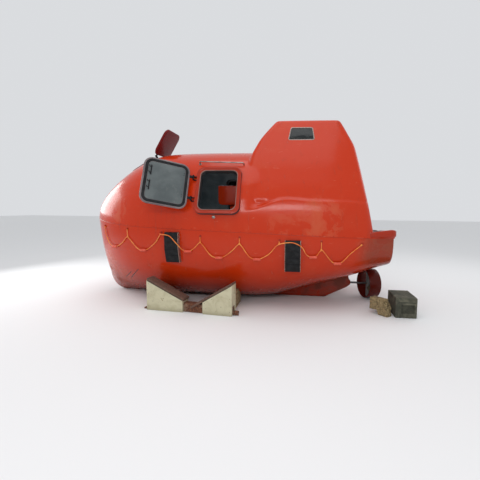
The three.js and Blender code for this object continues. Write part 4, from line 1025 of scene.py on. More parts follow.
def build_hull():
    skin = bare("hull_moulding", loft([hull_ring(x, 0, 60) for x in bow_stations(STEM_X, STERN_X, 60, 50)]))
    skeg_outline = [(420, 1), (1600, 1), (1990, 195), (2018, SHAFT_Z - 45), (2018, SHAFT_Z + 45),
                    (1990, 430), (1930, 480), (540, 120)]
    skeg = bare("skeg", slab(skeg_outline, -46, 46).placed(UPRIGHT))
    boss = bare("boss", disc(44, 0, 140).towards((1900, 0, SHAFT_Z)))
    combine(skin, [skeg, boss], "UNION")
    moulded(skin, SKIN_CELL, 2)
    outside = skin_of(skin)
    inside = bow_stations(-2300, 2480, 26, 110)
    hollow = bare("hollow", loft([hull_ring(x, HULL_WALL, 120) for x in inside]))
    bore = bare("bore", disc(18, 0, 260).towards((1790, 0, SHAFT_Z)))
    combine(skin, [hollow, bore, beyond_seam(1, 0)])
    settle(skin, hull_gelcoat, stands_for="hull_shell", angle=40)
    two_sided(skin, outside, inner_skin)
    profile = [(22.6, -760), (46, -760), (46, -14), (42, -10), (42, -4), (38, 0), (22.6, 0)]
    piece("rudder_trunk", turned_profile(profile, 36).at(NOZZLE_X, 0, 770), bench_grey)


build_hull()


# Canopy and tower
def canopy_ring(x, depth, drop):
    half = [canopy_point(x, k / 2, depth) for k in range(2 * CROWN_STEPS + 1)]
    return both_sides([half[0] - Vector((0, 0, drop))] + half, 1)


def tower_ring(z, depth=0, row=None):
    row = z if row is None else row
    front = along(TOWER_ROWS, "front", row, "z") + depth
    aft = along(TOWER_ROWS, "aft", row, "z") + END_LEAN * (row - z) - depth
    corner = max(along(TOWER_ROWS, "corner", row, "z") - depth, 20)

    def side(x):
        return tower_side(x, row) - depth

    def bend(a, b, c, steps=8):
        return [Vector((*(Vector(a).lerp(Vector(b), t).lerp(Vector(b).lerp(Vector(c), t), t)), z))
                for t in (k / steps for k in range(steps + 1))]

    half = bend((front, side(front) - corner), (front, side(front)), (front + corner, side(front + corner)))
    half += [Vector((x, side(x), z))
             for x in (lerp(front + corner, aft - corner, k / 12) for k in range(1, 12))]
    half += bend((aft - corner, side(aft - corner)), (aft, side(aft)), (aft, side(aft) - corner))
    return both_sides(half)


def turned_lean(degrees):
    return cos(radians(degrees)), sin(radians(degrees))


SIDE_COS, SIDE_SIN = turned_lean(20.6)
BOW_COS, BOW_SIN = turned_lean(30.5)
DOOR_COS, DOOR_SIN = turned_lean(11.3)
DOOR_Z = 1548
DOOR_X = CANOPY_END_X - END_LEAN * (DOOR_Z - END_FOOT_Z)
LID_GAP, LID_ROUNDER = 5.5, 24
HATCHES = {row["kind"]: row for row in rows(
    "kind frame width height corner open_width open_corner lid_width lid_height lid_corner"
    " hinge_x depth rim thick hinges",
    ("side", frame_of((-46, -1026, 1797), (1, 0, 0), (0, SIDE_SIN, SIDE_COS)),
     676, 736, 105, 562, 85, 652, 702, 100, -380, 100, 12, 45, (185, -150)),
    ("bow", frame_of((-1586, 0, 2256), (-BOW_COS, 0, -BOW_SIN), (0, -1, 0)),
     470, 590, 80, 370, 65, 480, 600, 85, -268, 100, 8, 42, (180, -180)),
    ("door", frame_of((DOOR_X, 0, DOOR_Z), (0, -1, 0), (DOOR_SIN, 0, -DOOR_COS)),
     640, 680, 90, 540, 70, 640, 680, 90, -348, 45, 26, 40, (220, -220)),
    ("roof", frame_of((1245, 0, 2903), (1, 0, 0), (0, 1, 0)),
     520, 520, 70, 440, 55, 520, 520, 70, -284, 50, 8, 22, (150, -150)),
)}


def flank_frame(x, z):
    def at(px, pz):
        return Vector((px, -tower_side(px, pz), pz))
    x_axis = (at(x + 150, z) - at(x - 150, z)).normalized()
    up = at(x, z + 60) - at(x, z - 60)
    return frame_of(at(x, z), x_axis, (up - x_axis * up.dot(x_axis)).normalized())


def end_frame(column, z, sideways):
    def at(pz):
        return Vector((along(TOWER_ROWS, column, pz, "z"), 0, pz))
    return frame_of(at(z), (0, sideways, 0), (at(2850) - at(2680)).normalized())


SIDE_PANE = rounded([(-196, -102), (190, -102), (162, 102), (-158, 102)], 20)
WINDOWS = {
    "port": (flank_frame(1155, 2678), SIDE_PANE),
    "starboard": (MIRROR @ flank_frame(1155, 2678), SIDE_PANE),
    "front": (end_frame("front", 2766, -1), rounded_rectangle(620, 180, 24)),
    "aft": (end_frame("aft", 2766, 1), rounded_rectangle(560, 170, 24)),
}
HATCH_PLACES = [("port_hatch", "side", AS_DRAWN), ("starboard_hatch", "side", MIRROR),
                ("bow_hatch", "bow", AS_DRAWN), ("aft_doorway", "door", AS_DRAWN),
                ("roof_hatch", "roof", AS_DRAWN)]
COAMING_LAND, GREY_BELOW_RIM = 12, 24


def build_canopy():
    stations = bow_stations(STEM_X, SHOULDER_START_X, 56, 45) + list(range(360, 601, 30))
    stations += [640, 690, 750, 820, 880, 900, 920] + list(range(960, 2041, 60))
    stations += [2070, 2100, 2130, 2155, 2180, 2200, 2215, 2227, CANOPY_END_X]
    skin = bare("canopy_moulding", loft([canopy_ring(x, 0, 60) for x in stations]))
    heights = [1600 + 42 * k for k in range(31)] + [2882, 2894, 2903]
    combine(skin, [bare("tower", loft([tower_ring(z) for z in heights]))], "UNION")
    moulded(skin, SKIN_CELL, 5)
    outside = skin_of(skin)
    inside = bow_stations(-2290, CANOPY_END_X - CANOPY_WALL - 1, 24, 90)
    hollow = bare("hollow", loft([canopy_ring(x, CANOPY_WALL, 120) for x in inside]))
    levels = [row["z"] for row in TOWER_ROWS if 1600 < row["z"] < ROOM_TOP_Z] + [ROOM_TOP_Z]
    room_rings = [tower_ring(1100, CANOPY_WALL, 1670)] + [tower_ring(z, CANOPY_WALL) for z in levels]
    combine(skin, [hollow, bare("room", loft(room_rings)), beyond_seam(-1, SEAM_GAP)])
    holes = []
    for name, kind, flip in HATCH_PLACES:
        h = HATCHES[kind]
        size = [h[key] - 2 * COAMING_LAND for key in ("width", "height")]
        hole = slab(rounded_rectangle(*size, h["corner"] - 10), -h["depth"] - 90, h["rim"] + 90)
        holes.append(bare(name, hole.placed(flip @ h["frame"])))
    for name, (place, outline) in WINDOWS.items():
        holes.append(bare(name, slab(inset(outline, -3), -90, 60).placed(place)))
    combine(skin, holes)
    settle(skin, canopy_gelcoat, stands_for="canopy_shell", angle=40)
    two_sided(skin, outside, inner_skin)


build_canopy()


# Hatch coamings, their hinges and lids
def coaming_profile(h):
    across = (h["width"] - h["open_width"]) / 2
    rim, low = h["rim"], -h["depth"]
    return [(0, -44), (0, rim - 6), (2, rim - 2), (6, rim), (18, rim), (21, rim - 2), (24, rim - 4.5),
            (across - 12, rim - 4.5), (across - 8, rim - 4), (across - 3, rim - 5), (across, rim - 9),
            (across, low + 5), (across - 5, low), (across - 20, low), (across - 20, -44)]


def lip_profile(h):
    across = (h["width"] - h["open_width"]) / 2
    rim = h["rim"]
    return [(across - 6, rim - 6), (across - 6, rim - 2), (across - 4, rim + 1.2), (across + 1, rim + 1.2),
            (across + 4, rim - 2), (across + 4, rim - 12), (across, rim - 12), (across, rim - 6)]


def pin_height(h):
    return h["rim"] + LID_GAP + h["thick"] / 2


def hinge_fixed(h):
    """Cheeks and pins on the coaming."""
    x, edge, rim, z = h["hinge_x"], -h["width"] / 2, h["rim"], pin_height(h)
    outline = rounded([(x - 10, rim - 42), (edge + 8, rim - 42), (edge + 8, rim - 8), (x + 10, rim - 8),
                       (x + 10, z + 10), (x - 10, z + 10)], 3.5, 3)
    shapes = []
    for y in h["hinges"]:
        shapes += [slab(outline, -low - 10, -low, 1.2, 2).placed(UPRIGHT) for low in (y - 31, y + 21)]
        pin = [disc(6, -23, 23, 1)] + [disc(9, low, low + 6, 2, 6) for low in (31.2, -37.2)]
        shapes.append(gathered(pin).towards((x, y, z), (0, 1, 0)))
    return gathered(shapes)


def hinge_moving(h):
    """Knuckles and straps on the lid."""
    x, z, reach = h["hinge_x"], pin_height(h), -h["lid_width"] / 2
    knuckle = turned_profile([(6.6, -20), (11, -20), (12, -19), (12, 19), (11, 20), (6.6, 20)], 24)
    strap = box((x + 9, -19, z - 7.5), (reach + 16, 19, z + 7.5))
    return gathered(knuckle.towards((x, y, z), (0, 1, 0)) + strap.at(0, y) for y in h["hinges"])


def swing(h, degrees):
    there = Matrix.Translation((h["hinge_x"], 0, pin_height(h)))
    return h["frame"] @ there @ turned(-degrees, "Y") @ there.inverted()


def lid_outline(h, amount):
    return rounded_rectangle(h["lid_width"] - 2 * amount, h["lid_height"] - 2 * amount,
                             max(h["lid_corner"] + LID_ROUNDER - amount, 20), 8)


def latch(x, y, z, reach=150):
    """A pair of dog levers on one plate, on the inside of a lid."""
    shapes = [box((x - 8, y - reach / 2, z - 3.5), (x + 8, y + reach / 2, z + 0.5), 1.5)]
    for end in (-1, 1):
        at = y + end * reach * 0.3
        hook = bent_path([(x, at, z - 13), (x + 24, at + 4, z - 13), (x + 30, at + 22, z - 13)], 7, 4)
        shapes += [disc(8, z - 17, z - 3, 1.5, 14).at(x, at), tube(hook, 5, 10),
                   disc(4, z - 6, z - 3, 1, 6).at(x - 8, y + end * reach * 0.43)]
    shapes.append(box((x - 4, y - reach * 0.34, z - 15), (x + 4, y + reach * 0.34, z - 11), 2))
    return gathered(shapes)


def outside_lever(x, y, z):
    """A lever handle on the outside of a lid."""
    grip = bent_path([(x, y, z + 18), (x - 20, y, z + 24), (x - 128, y, z + 24)], 10)
    return disc(24, z - 1, z + 5, 1.5).at(x, y) + disc(11, z + 4, z + 22, 2).at(x, y) + tube(grip, 6.5, 12)


def make_lid(name, kind, degrees, flip, finishes, body, nodes):
    """A lid with rounded edges: shell, seal, liner or catches, levers or treads, and hinge straps."""
    outer, inner, hardware = finishes
    h = HATCHES[kind]
    place = flip @ swing(h, degrees)
    low = h["rim"] + LID_GAP
    high, edge = low + h["thick"], h["lid_width"] / 2
    shell = bare(name, slab(lid_outline(h, 0), low, high, min(h["thick"] * 0.34, 14), 5))
    if kind == "side":
        combine(shell, [bare("recess", slab(lid_outline(h, 68), low - 5, low + 8.3))])
    inner_top = (low + h["thick"] * 0.42) * MM
    inwards = [face.normal.z < -0.2 or face.center.z < inner_top for face in shell.data.polygons]
    carried(shell, place)
    if place.determinant() < 0:
        shell.data.flip_normals()
    settle(shell, outer, body, 40, nodes[0])
    shell.data.materials.append(inner.material)
    for face, is_inner in zip(shell.data.polygons, inwards):
        face.material_index = int(is_inner)

    def fit(part, shapes, finish, **more):
        piece(f"{name}_{part}", gathered(shapes).placed(place), finish, body, **more)

    ring = swept_frame(lid_outline(h, 25), [(0, 0), (1.5, -2), (8, -3.4), (30, -3.4), (38, -2), (40, 0),
                                            (40, 2.5), (0, 2.5)])
    fit("gasket", [ring.at(0, 0, low - 0.3)], black_rubber, stands_for=nodes[1:2], angle=50)
    spread = h["lid_height"] * 0.2
    if kind == "side":
        lining = slab(lid_outline(h, 68.3), low + 0.4, low + 8, 2.5)
        fit("lining", [lining], liner_grey, stands_for=nodes[2:3])
        bolts = [disc(6, low - 3, low + 2, 1.5, 6).at(-edge + 86, y + d)
                 for y in h["hinges"] for d in (-16, 16)]
        fit("latches", [latch(edge - 108, y, low + 0.4) for y in (150, -75)] + bolts, hardware)
        fit("lever", [outside_lever(edge - 90, 0, high)], rail_steel)
    else:
        fit("latches", [disc(15, low - 6, low + 0.5, 1.5, 20).at(edge - 90, y)
                        + box((edge - 94, y - 5, low - 9), (edge - 52, y + 5, low - 3), 2)
                        for y in (spread, -spread)], hardware)
    if kind == "roof":
        fit("treads", [box((-200, y - 9, high - 1), (200, y + 9, high + 0.8), 0.8)
                       for y in (-150, -50, 50, 150)], black_rubber)
    if kind == "door":
        fit("levers", [outside_lever(edge - 80, y, high) for y in (spread, -spread)], rail_steel)
    fit("straps", [hinge_moving(h)], hinge_black)


for name, kind, flip in HATCH_PLACES:
    h = HATCHES[kind]
    place = flip @ h["frame"]
    shape = hatch_frame(h, coaming_profile(h)).placed(place)
    coaming = piece(f"{name}_coaming", shape, shaded_orange_gelcoat, angle=50)
    coaming.data.materials.append(return_grey.material)
    from_frame = place.inverted()
    for face in coaming.data.polygons:
        if (from_frame @ (face.center / MM)).z < h["rim"] - GREY_BELOW_RIM:
            face.material_index = 1
    if kind == "side":
        piece(f"{name}_lip", hatch_frame(h, lip_profile(h)).placed(place), lip_grey, angle=50)
    piece(f"{name}_hinges", hinge_fixed(h).placed(place), hinge_black)

ORANGE_LID, SHADED_LID = (lid_gelcoat, lid_edge_grey, hinge_black), (shaded_lid_gelcoat,) * 3
for side, degrees in (("port", 150), ("starboard", 0)):
    body = f"side_lid_{side}"
    make_lid(f"{body}_moulding", "side", degrees, DRAWN_TO_PORT[side], ORANGE_LID, body,
             [f"{body}_{part}" for part in ("shell", "seal", "liner")])
for name, kind, degrees, finishes, body in (
        ("bow_lid", "bow", 151, SHADED_LID, "bow_lid"), ("aft_door", "door", 0, ORANGE_LID, "aft_door"),
        ("roof_hatch", "roof", 0, ORANGE_LID, "roof_hatch_lid")):
    make_lid(f"{name}_moulding", kind, degrees, AS_DRAWN, finishes, body, [body])


# Windows
for name, (place, outline) in WINDOWS.items():
    piece(f"pane_{name}", slab(outline, -14, -6, 1).placed(place), dark_pane, stands_for=f"window_{name}")
    trim = swept_frame(outline, [(-9, -1), (-9, 1.4), (-7, 2.6), (1, 2.6), (4, 1), (5, -4), (5, -6),
                                 (-2.6, -6), (-2.6, -1)])
    piece(f"window_trim_{name}", trim.placed(place), trim_metal, angle=50)


# After deck, its raised rim, the seam between hull and canopy
TREAD_CROWN, TREAD_REACH = 34, 830


def build_deck():
    rings, crown = [], DECK_CROWN_Z - DECK_EDGE_Z
    for x in [2130, 2180, 2230, 2280, 2330, 2380, 2430, 2470, 2500, 2515, 2526, 2534]:
        beam = half_beam(x) - (10 if x > STERN_X else 0)
        low = sheer_height(x) + SEAM_GAP
        drop = clamp((x - 2515) / 19, 0, 1) ** 2 * 5
        top = [Vector((x, share * beam, DECK_EDGE_Z - drop + crown * (1 - share * share)))
               for share in (k / 12 - 1 for k in range(25))]
        rings.append([Vector((x, -beam, low))] + top + [Vector((x, beam, low))])
    piece("after_deck", loft(rings), canopy_gelcoat, angle=40)
    pads = []
    for y in range(-520, 521, 260):
        lean = atan2(-2 * TREAD_CROWN * y / TREAD_REACH ** 2, 1)
        pad = slab(rounded_rectangle(200, 190, 20, 3), -1, 1.5, 0.8, 2)
        height = DECK_EDGE_Z + TREAD_CROWN * (1 - (y / TREAD_REACH) ** 2)
        pads.append(pad.placed(Matrix.Rotation(lean, 4, "X")).at(2400, y, height))
    piece("deck_treads", gathered(pads), black_rubber)


RIM_PATH = rows(
    "x y top swell",
    (2140, -935, 1200, 0), (2215, -935, 1214, 0.5), (2320, -912, 1226, 1), (2420, -888, 1238, 1),
    (2480, -870, 1244, 1), (2516, -845, 1240, 1), (2534, -805, 1230, 1), (2536, -700, 1224, 1),
    (2536, -450, 1208, 1), (2536, -150, 1190, 0.9), (2536, 100, 1176, 0.8), (2534, 320, 1150, 0.6),
)
RIM_HALF, RIM_LIP_Z = 24, 1147


def build_rim():
    """The raised rim round the port quarter, running out along the transom."""
    for i, row in enumerate(RIM_PATH):
        row["i"] = i
    count, last = 60, len(RIM_PATH) - 1
    points = [{key: along(RIM_PATH, key, last * k / count, "i") for key in ("x", "y", "top", "swell")}
              for k in range(count + 1)]
    rings = []
    for k, point in enumerate(points):
        before, after = points[max(k - 1, 0)], points[min(k + 1, count)]
        heading = Vector((after["x"] - before["x"], after["y"] - before["y"], 0)).normalized()
        outward = Vector((heading.y, -heading.x, 0))
        foot = sheer_height(min(point["x"], STERN_X)) + SEAM_GAP
        swell, top = RIM_HALF * point["swell"], point["top"]
        lip = min(RIM_LIP_Z, top - 18)
        section = [(-RIM_HALF, foot), (0, foot), (swell * 0.7, lip - 6), (swell, lip + 2),
                   (swell + 2, lip + 10), (swell + 2, top - 16), (swell * 0.85, top - 6), (swell * 0.5, top),
                   (-RIM_HALF * 0.5, top), (-RIM_HALF * 0.85, top - 4), (-RIM_HALF, top - 12)]
        rings.append([Vector((point["x"], point["y"], z)) + outward * out for out, z in section])
    piece("quarter_rim", loft(rings), shaded_orange_gelcoat, angle=50)


def seam_path(sign, out, lift):
    path = []
    for x in bow_stations(STEM_X + 1, STERN_X - 6, 60, 60):
        at, z = seam_edge(x)
        path.append(Vector((max(at, STEM_X - STEM_RAKE + 5), sign * (half_beam(x) + out), z + lift)))
    return path


def build_seam():
    beads, bolts = [], []
    for sign in (-1, 1):
        beads.append(tube(seam_path(sign, -1.6, 0.3), 3.6, 8))
        line = spaced(seam_path(sign, 0, 17), 148)
        for before, at, after in zip(line, line[1:], line[2:]):
            heading = after - before
            outward = Vector((heading.y, -heading.x, 0.15 * abs(heading.x))).normalized() * -sign
            if outward.y * sign < 0:
                outward = Vector((-outward.x, -outward.y, outward.z))
            bolts.append(disc(6, 0, 4.2, 1.6, 12).towards(at - outward * 2, outward))
    piece("seam_sealant", gathered(beads), shaded_orange_gelcoat)
    piece("seam_bolts", gathered(bolts), shaded_orange_gelcoat)


build_deck()
build_rim()
build_seam()


# Grab rails, eyes and line ends, the knob below the port hatch
def grab_rail():
    """The port rail with its feet and screws."""
    fore, aft, inward = Vector((-400, -803, 2240)), Vector((306, -803, 2216)), Vector((0, 0.74, -0.67))
    run = (aft - fore).normalized()
    ends = [fore + run * 9, aft - run * 9]
    shapes = [tube(bent_path([ends[0] + inward * 72, *ends, ends[1] + inward * 72], 26, 8), 9, 16)]
    for end in ends:
        seat = end + inward * 64
        shapes.append(disc(22, 0, 14, 3).towards(seat, -inward))
        shapes += [disc(4.5, 0, 17.5, 1.5, 6).towards(seat + run * shift, -inward) for shift in (14, -14)]
    return gathered(shapes)


for side in SIDES:
    piece(f"roof_rail_{side}", grab_rail().placed(DRAWN_TO_PORT[side]), rail_steel,
          stands_for=f"grab_rail_{side}")

EYES = rows(
    "x z foot out",
    (-1470, 1203, 1090, 16), (-889, 1164, 1144, 60), (-293, 1118, 1032, 16), (296, 1108, 1024, 16),
    (879, 1082, 1042, 62), (1476, 1074, 960, 16),
)


def at_side(x, z, off, sign):
    return Vector((x, sign * (hull_side(x, z) + off), z))


for side, sign in SIDES.items():
    pads, strops = [], []
    for eye in EYES:
        x, z, out = eye["x"], eye["z"], eye["out"]
        root, tip = at_side(x, z, -6, sign), at_side(x, z, out + 5, sign)
        pads += [disc(17, 0, 8.5, 2).towards(root, tip - root), tube([root, tip], 7.5),
                 disc(11, -3, 3, 2).towards(tip, tip - root)]
        foot = at_side(x, eye["foot"] - 6, out, sign)
        drop = spaced([at_side(x, z, out, sign), foot], 5)
        ring = [foot + Vector((9 * cos(a), 0, 9 * sin(a))) for a in circle(16, 1)]
        strops += [tube(drop, 5.2, 8, strands=3, twist=0.16, groove=1.2), tube(ring, 4, 8)]
    path = line_paths[side]
    for end, next_one in ((path[0], path[2]), (path[-1], path[-3])):
        away = (end - next_one).normalized()
        strops.append(tube([end + away * 0.5, end + away * 30], 9.5))
        root = end + away * 34
        pads.append(tube([root + Vector((0, sign * 9, 0)), root - Vector((0, sign * 42, 0))], 9))
        pads.append(disc(20, -2, 6).towards(at_side(root.x, root.z, 0, sign), (0, sign, 0)))
    piece(f"line_eyes_{side}", gathered(pads), shaded_orange_gelcoat)
    piece(f"line_strops_{side}", gathered(strops), orange_rope)

knob = (disc(23, -3, 4, 2) + disc(9, 3, 20, 1)
        + turned_profile([(0.5, 18), (15, 19), (20, 25), (20, 31), (13, 37), (0.5, 38)], 24))
KNOB_X, KNOB_Z = -91, 1399
piece("hatch_knob", knob.towards((KNOB_X, -canopy_side(KNOB_X, KNOB_Z), KNOB_Z), (0, -1, 0.12)), rail_steel)


# Fenders, with metal cheeks at the edges that the last column names
FENDERS = rows("place x width top foot cheeks",
               ("fore", -725, 212, 1168, 712, (1,)), ("aft", 1072, 216, 1082, 622, (-1, 1)))
CHEEK_THICK = 6


def fender_cheek(x, top, foot):
    """A bent metal plate along one edge of a fender."""
    side = hull_side(x, (top + foot) / 2)
    outer = [(side + 21, foot - 1), (side + 55, foot + 110), (side + 81, foot + 200), (side + 85, top - 40),
             (side + 69, top + 1)]
    inner = [(hull_side(x, z) - 4, z) for z in (lerp(top + 1, foot - 1, k / 10) for k in range(11))]
    return [Vector(p) for p in outer + inner]


for fender in FENDERS:
    place, x, width, top, foot, cheeks = fender.values()
    for side in SIDES:
        eased(f"fender_{place}_{side}", f"fender_{place}_{side}_block", black_rubber, 9, segments=3)
        plates = []
        for edge in cheeks:
            near = x + edge * (width / 2 - 1)
            start = near if edge > 0 else near - CHEEK_THICK
            sheet = slab(fender_cheek(near, top, foot), 0, CHEEK_THICK, 0.8, 1)
            plates.append(sheet.placed(frame_of((start, 0, 0), (0, 1, 0), (0, 0, 1))))
            y = hull_side(near, (top + foot) / 2) + 24
            face_x = start + (CHEEK_THICK if edge > 0 else 0)
            plates += [disc(8, 0, 5, 2, 6).towards((face_x, y, z), (edge, 0, 0))
                       for z in (foot + 40, (foot + top) / 2, top - 60)]
        middle, half = hull_side(x, (top + foot) / 2), width / 2 - 12
        folds = [tube([(x - half, middle + reach, z), (x + half, middle + reach, z)], 3.4, 8)
                 for z, reach in ((foot + 200, 80), (foot + 110, 55), (foot + 300, 81.5))]
        flip = DRAWN_TO_STARBOARD[side]
        piece(f"fender_{place}_{side}_cheeks", gathered(plates).placed(flip), cheek_metal)
        piece(f"fender_{place}_{side}_folds", gathered(folds).placed(flip), black_rubber)


# Propeller, shaft and steering nozzle
BLADE_TOP = [(-0.4, 0.22), (-0.25, 0.4), (-0.05, 0.5), (0.1, 0.5), (0.28, 0.38), (0.4, 0.25)]
BLADE = [(-0.5, 0), *BLADE_TOP, (0.5, 0), *((c, -t) for c, t in reversed(BLADE_TOP))]
ROOT_RADIUS, BLADE_LENGTH, BLADE_TURN_RADIUS = 22, 181, 60
NOZZLE_TURN = 18


def blade_ring(share):
    """The blade's section at a share of its length, wrapped round the shaft's axis."""
    radius = ROOT_RADIUS + BLADE_LENGTH * share
    around = max(radius, BLADE_TURN_RADIUS)
    chord = 150 * (0.55 + 0.75 * share - 0.78 * share ** 3)
    pitch = atan2(300, 2 * pi * around)
    thick = 9 * (1 - 0.6 * share)
    ring = []
    for c, t in BLADE:
        x = c * chord * sin(pitch) + t * thick * cos(pitch)
        turn = (c * chord * cos(pitch) - t * thick * sin(pitch)) / around
        ring.append(Vector((x, radius * sin(turn), radius * cos(turn))))
    return ring


def build_screw():
    blade = loft([blade_ring(share) for share in [k / 18 for k in range(18)] + [0.97, 0.99, 1.0]])
    hub = turned_profile([(17.5, -40), (30, -40), (34, -34), (34, 30), (30, 38), (24, 40), (17.5, 40)], 40)
    screw = gathered([hub.placed(turned(90, "Y"))] + [blade.placed(turned(120 * i, "X")) for i in range(3)])
    piece("screw", screw.at(NOZZLE_X, 0, SHAFT_Z), bronze, "propeller", stands_for="propeller")
    profile = [(0.4, 1780), (15, 1780), (17, 1782), (17, 2398), (14, 2408), (9, 2412), (0.4, 2412)]
    shaft = turned_profile(profile) + disc(20.5, 2392.6, 2406, 2, 6)
    piece("screw_shaft", shaft.towards((0, 0, SHAFT_Z)), shaft_steel, "propeller",
          stands_for="propeller_shaft")


def build_nozzle():
    """The nozzle ring with its stock, drawn straight and turned as the photograph shows it."""
    inner, outer, half = 217, 246, 102
    profile = [(inner + 12, -half), (outer - 6, -half), (outer - 2, -half + 4), (outer, -half + 14),
               (outer, half - 14), (outer - 2, half - 4), (outer - 6, half), (inner + 8, half),
               (inner + 3, half - 18), (inner, half - 60), (inner, -half + 60), (inner + 4, -half + 24)]
    bands = [[(outer - 1, z - 7), (outer - 0.2, z - 7), (outer - 0.2, z + 7), (outer - 1, z + 7)]
             for z in (-88, 88)]
    rings = gathered(turned_profile(section, 96) for section in [profile] + bands).placed(turned(90, "Y"))
    stock = turned_profile([(0.4, 224), (22, 224), (22, 530), (18, 534), (0.4, 534)])
    collar = turned_profile([(22, 236), (48, 243), (44, 256), (30, 268), (22, 270)])
    whole = (rings + stock + collar).placed(turned(NOZZLE_TURN, "Z")).at(NOZZLE_X, 0, SHAFT_Z)
    piece("nozzle_ring", whole, shaded_nozzle_gelcoat, "steering_nozzle", stands_for="steering_nozzle")


build_screw()
build_nozzle()


# Inside the cabin
for node, name, finish, width, segments in (
        ("cabin_sole", "sole_boards", bench_grey, 4, 2),
        ("bench_port", "bench_port_locker", bench_grey, 22, 4),
        ("bench_starboard", "bench_starboard_locker", bench_grey, 22, 4),
        ("helm_console", "console_moulding", canopy_gelcoat, 16, 4),
        ("helm_platform", "platform_moulding", bench_grey, 10, 3),
        ("lifting_hook", "hook_plate", shaft_steel, 4, 2)):
    eased(node, name, finish, width, segments)


def build_helm():
    seat = [box((1180, -90, 1480.3), (1380, 90, 1846), 24), box((1060, -225, 1850), (1500, 225, 1930), 30),
            box((1430, -225, 1932), (1500, 225, 2380), 26), box((1100, -180, 1926), (1420, 180, 1934), 6),
            box((1424, -180, 1980), (1434, 180, 2340), 6)]
    piece("seat_shell", gathered(seat), moulded_seat, stands_for="helm_seat")
    centre, wheel_radius = Vector((470, 0, 2100)), 175

    def rim_at(a, radius):
        return centre + Vector((0, radius * cos(a), radius * sin(a)))

    wheel = [tube([rim_at(a, wheel_radius) for a in circle(48, 1)], 11)]
    wheel += [tube([centre, rim_at(a, wheel_radius - 7)], 7, 10) for a in (0, pi, pi / 2)]
    wheel += [disc(30, -10, 8, 3).towards(centre), tube([(462, 0, 2098), (330, 0, 2060)], 22, 20),
              tube([(330, 0, 2080), (330, 0, 1903)], 26, 24)]
    piece("steering_wheel", gathered(wheel), black_rubber, stands_for="helm_wheel")
    dials = []
    for y, z, r in ((-180, 1800, 42), (-70, 1800, 42), (60, 1810, 30), (140, 1810, 30), (220, 1810, 30)):
        ring = turned_profile([(r - 5, 0), (r, 0), (r + 1, 3), (r - 2, 5), (r - 5, 3)])
        dials.append((ring + disc(r - 4, -1, 1.5, 0.5, 28)).towards((380, y, z)))
    piece("console_dials", gathered(dials), dial_black)


def build_engine():
    low, top = 333, 819
    parts = [box((700, -120, low), (1080, 120, 420), 18), box((670, -170, 420), (1120, 170, 640), 14),
             box((700, -140, 640), (1090, 140, 740), 12), box((720, -110, 740), (1070, 110, top), 20),
             disc(118, 0, 50, 6, 40).towards((1120, 0, 520)), disc(70, 0, 28, 4, 32).towards((642, 0, 560))]
    for x in range(760, 1031, 90):
        parts += [tube(bent_path([(x, 140, 690), (x, 190, 690), (x, 205, 610)], 20), 17, 14),
                  disc(13, 0, 8, 2, 6).at(x - 20, 0, top - 8),
                  box((x - 34, -176, 450), (x + 34, -168, 610))]
    parts += [box((x, y - 40, low), (x + 90, y + 40, 470), 8) for x in (690, 1010) for y in (-180, 180)]
    piece("engine", gathered(parts), engine_green, stands_for="engine_block")


build_helm()
build_engine()


# Chock stands, timbers and the block by the stern
STAND_PARTS = [("saddle", "boards", cream_board, 2.5), ("bearer", "timber", shaded_bearer_timber, 3),
               ("chock", "timber", chock_timber, 4)]
for side in SIDES:
    for end in ("fore", "aft"):
        for node, part, finish, width in STAND_PARTS:
            eased(f"{node}_{end}_{side}", f"{node}_{end}_{side}_{part}", finish, width)
    eased(f"stand_beam_{side}", f"stand_beam_{side}_steel", rusty_steel, 3)

NAILS = [(28, 60), (28, 250), (30, 400), (300, 60), (540, 40), (545, 160), (300, 290),
         (1305, 60), (1305, 250), (1300, 400), (1100, 60), (930, 40), (925, 160), (1100, 300)]
# Ends of the dark strips of painted shadow under the bearers' edges.
SHADOW_STRIPS = [((0, 4, 445), (577, 4, 174)), ((1335, 4, 442), (892, 4, 174))]
stand_place = Matrix.Translation((-1096, -1208, 0)) @ turned(-5.7, "Z")


def bearer_shadow_strip(outer, inner):
    """A dark strip of painted shadow under a bearer's edge."""
    a, b = Vector(outer), Vector(inner)
    run = (b - a).normalized()
    return tube([a + run * 8, b - run * 6], 4.6, 8)


nails = gathered(disc(5, 0, 2.4, 1, 8).towards((x, 1, z), (0, -1, 0)) for x, z in NAILS)
shadow_strips = gathered(bearer_shadow_strip(*ends) for ends in SHADOW_STRIPS)
for side in SIDES:
    flip = DRAWN_TO_PORT[side]
    piece(f"stand_nails_{side}", nails.placed(flip @ stand_place), cheek_metal)
    piece(f"stand_shadow_strips_{side}", shadow_strips.placed(flip @ stand_place), black_rubber)


BLOCK_FACE_Y = -1034


def build_block():
    """The block, with the recess and the groove in its face, and lumps all over."""
    block = bare("block", box((2539.5, BLOCK_FACE_Y + 0.5, 0), (2838.5, -560.5, 295.5), 10))
    cuts = []
    for name, width, height, corner, deep, x, z in (("panel", 176, 120, 8, 30, 2712, 128),
                                                    ("groove", 240, 14, 5, 20, 2700, 226)):
        cut = slab(rounded_rectangle(width, height, corner, 3), -4, deep)
        cuts.append(bare(name, cut.placed(frame_of((x, BLOCK_FACE_Y - 2, z), (-1, 0, 0), (0, 0, 1)))))
    combine(block, cuts)
    moulded(block, 7)
    for vertex in block.data.vertices:
        lump = noise.fractal(vertex.co / 0.045 + Vector((3, 3, 3)), 0.6, 2.1, 4)
        vertex.co -= vertex.normal * (abs(lump) * 3.2 * MM)
    settle(block, concrete, stands_for="stern_block", angle=60)


TIMBER_TOP, BREAK_START, NOTCH_TOP, WORN_FROM_Z = 244, -20, 110, 60


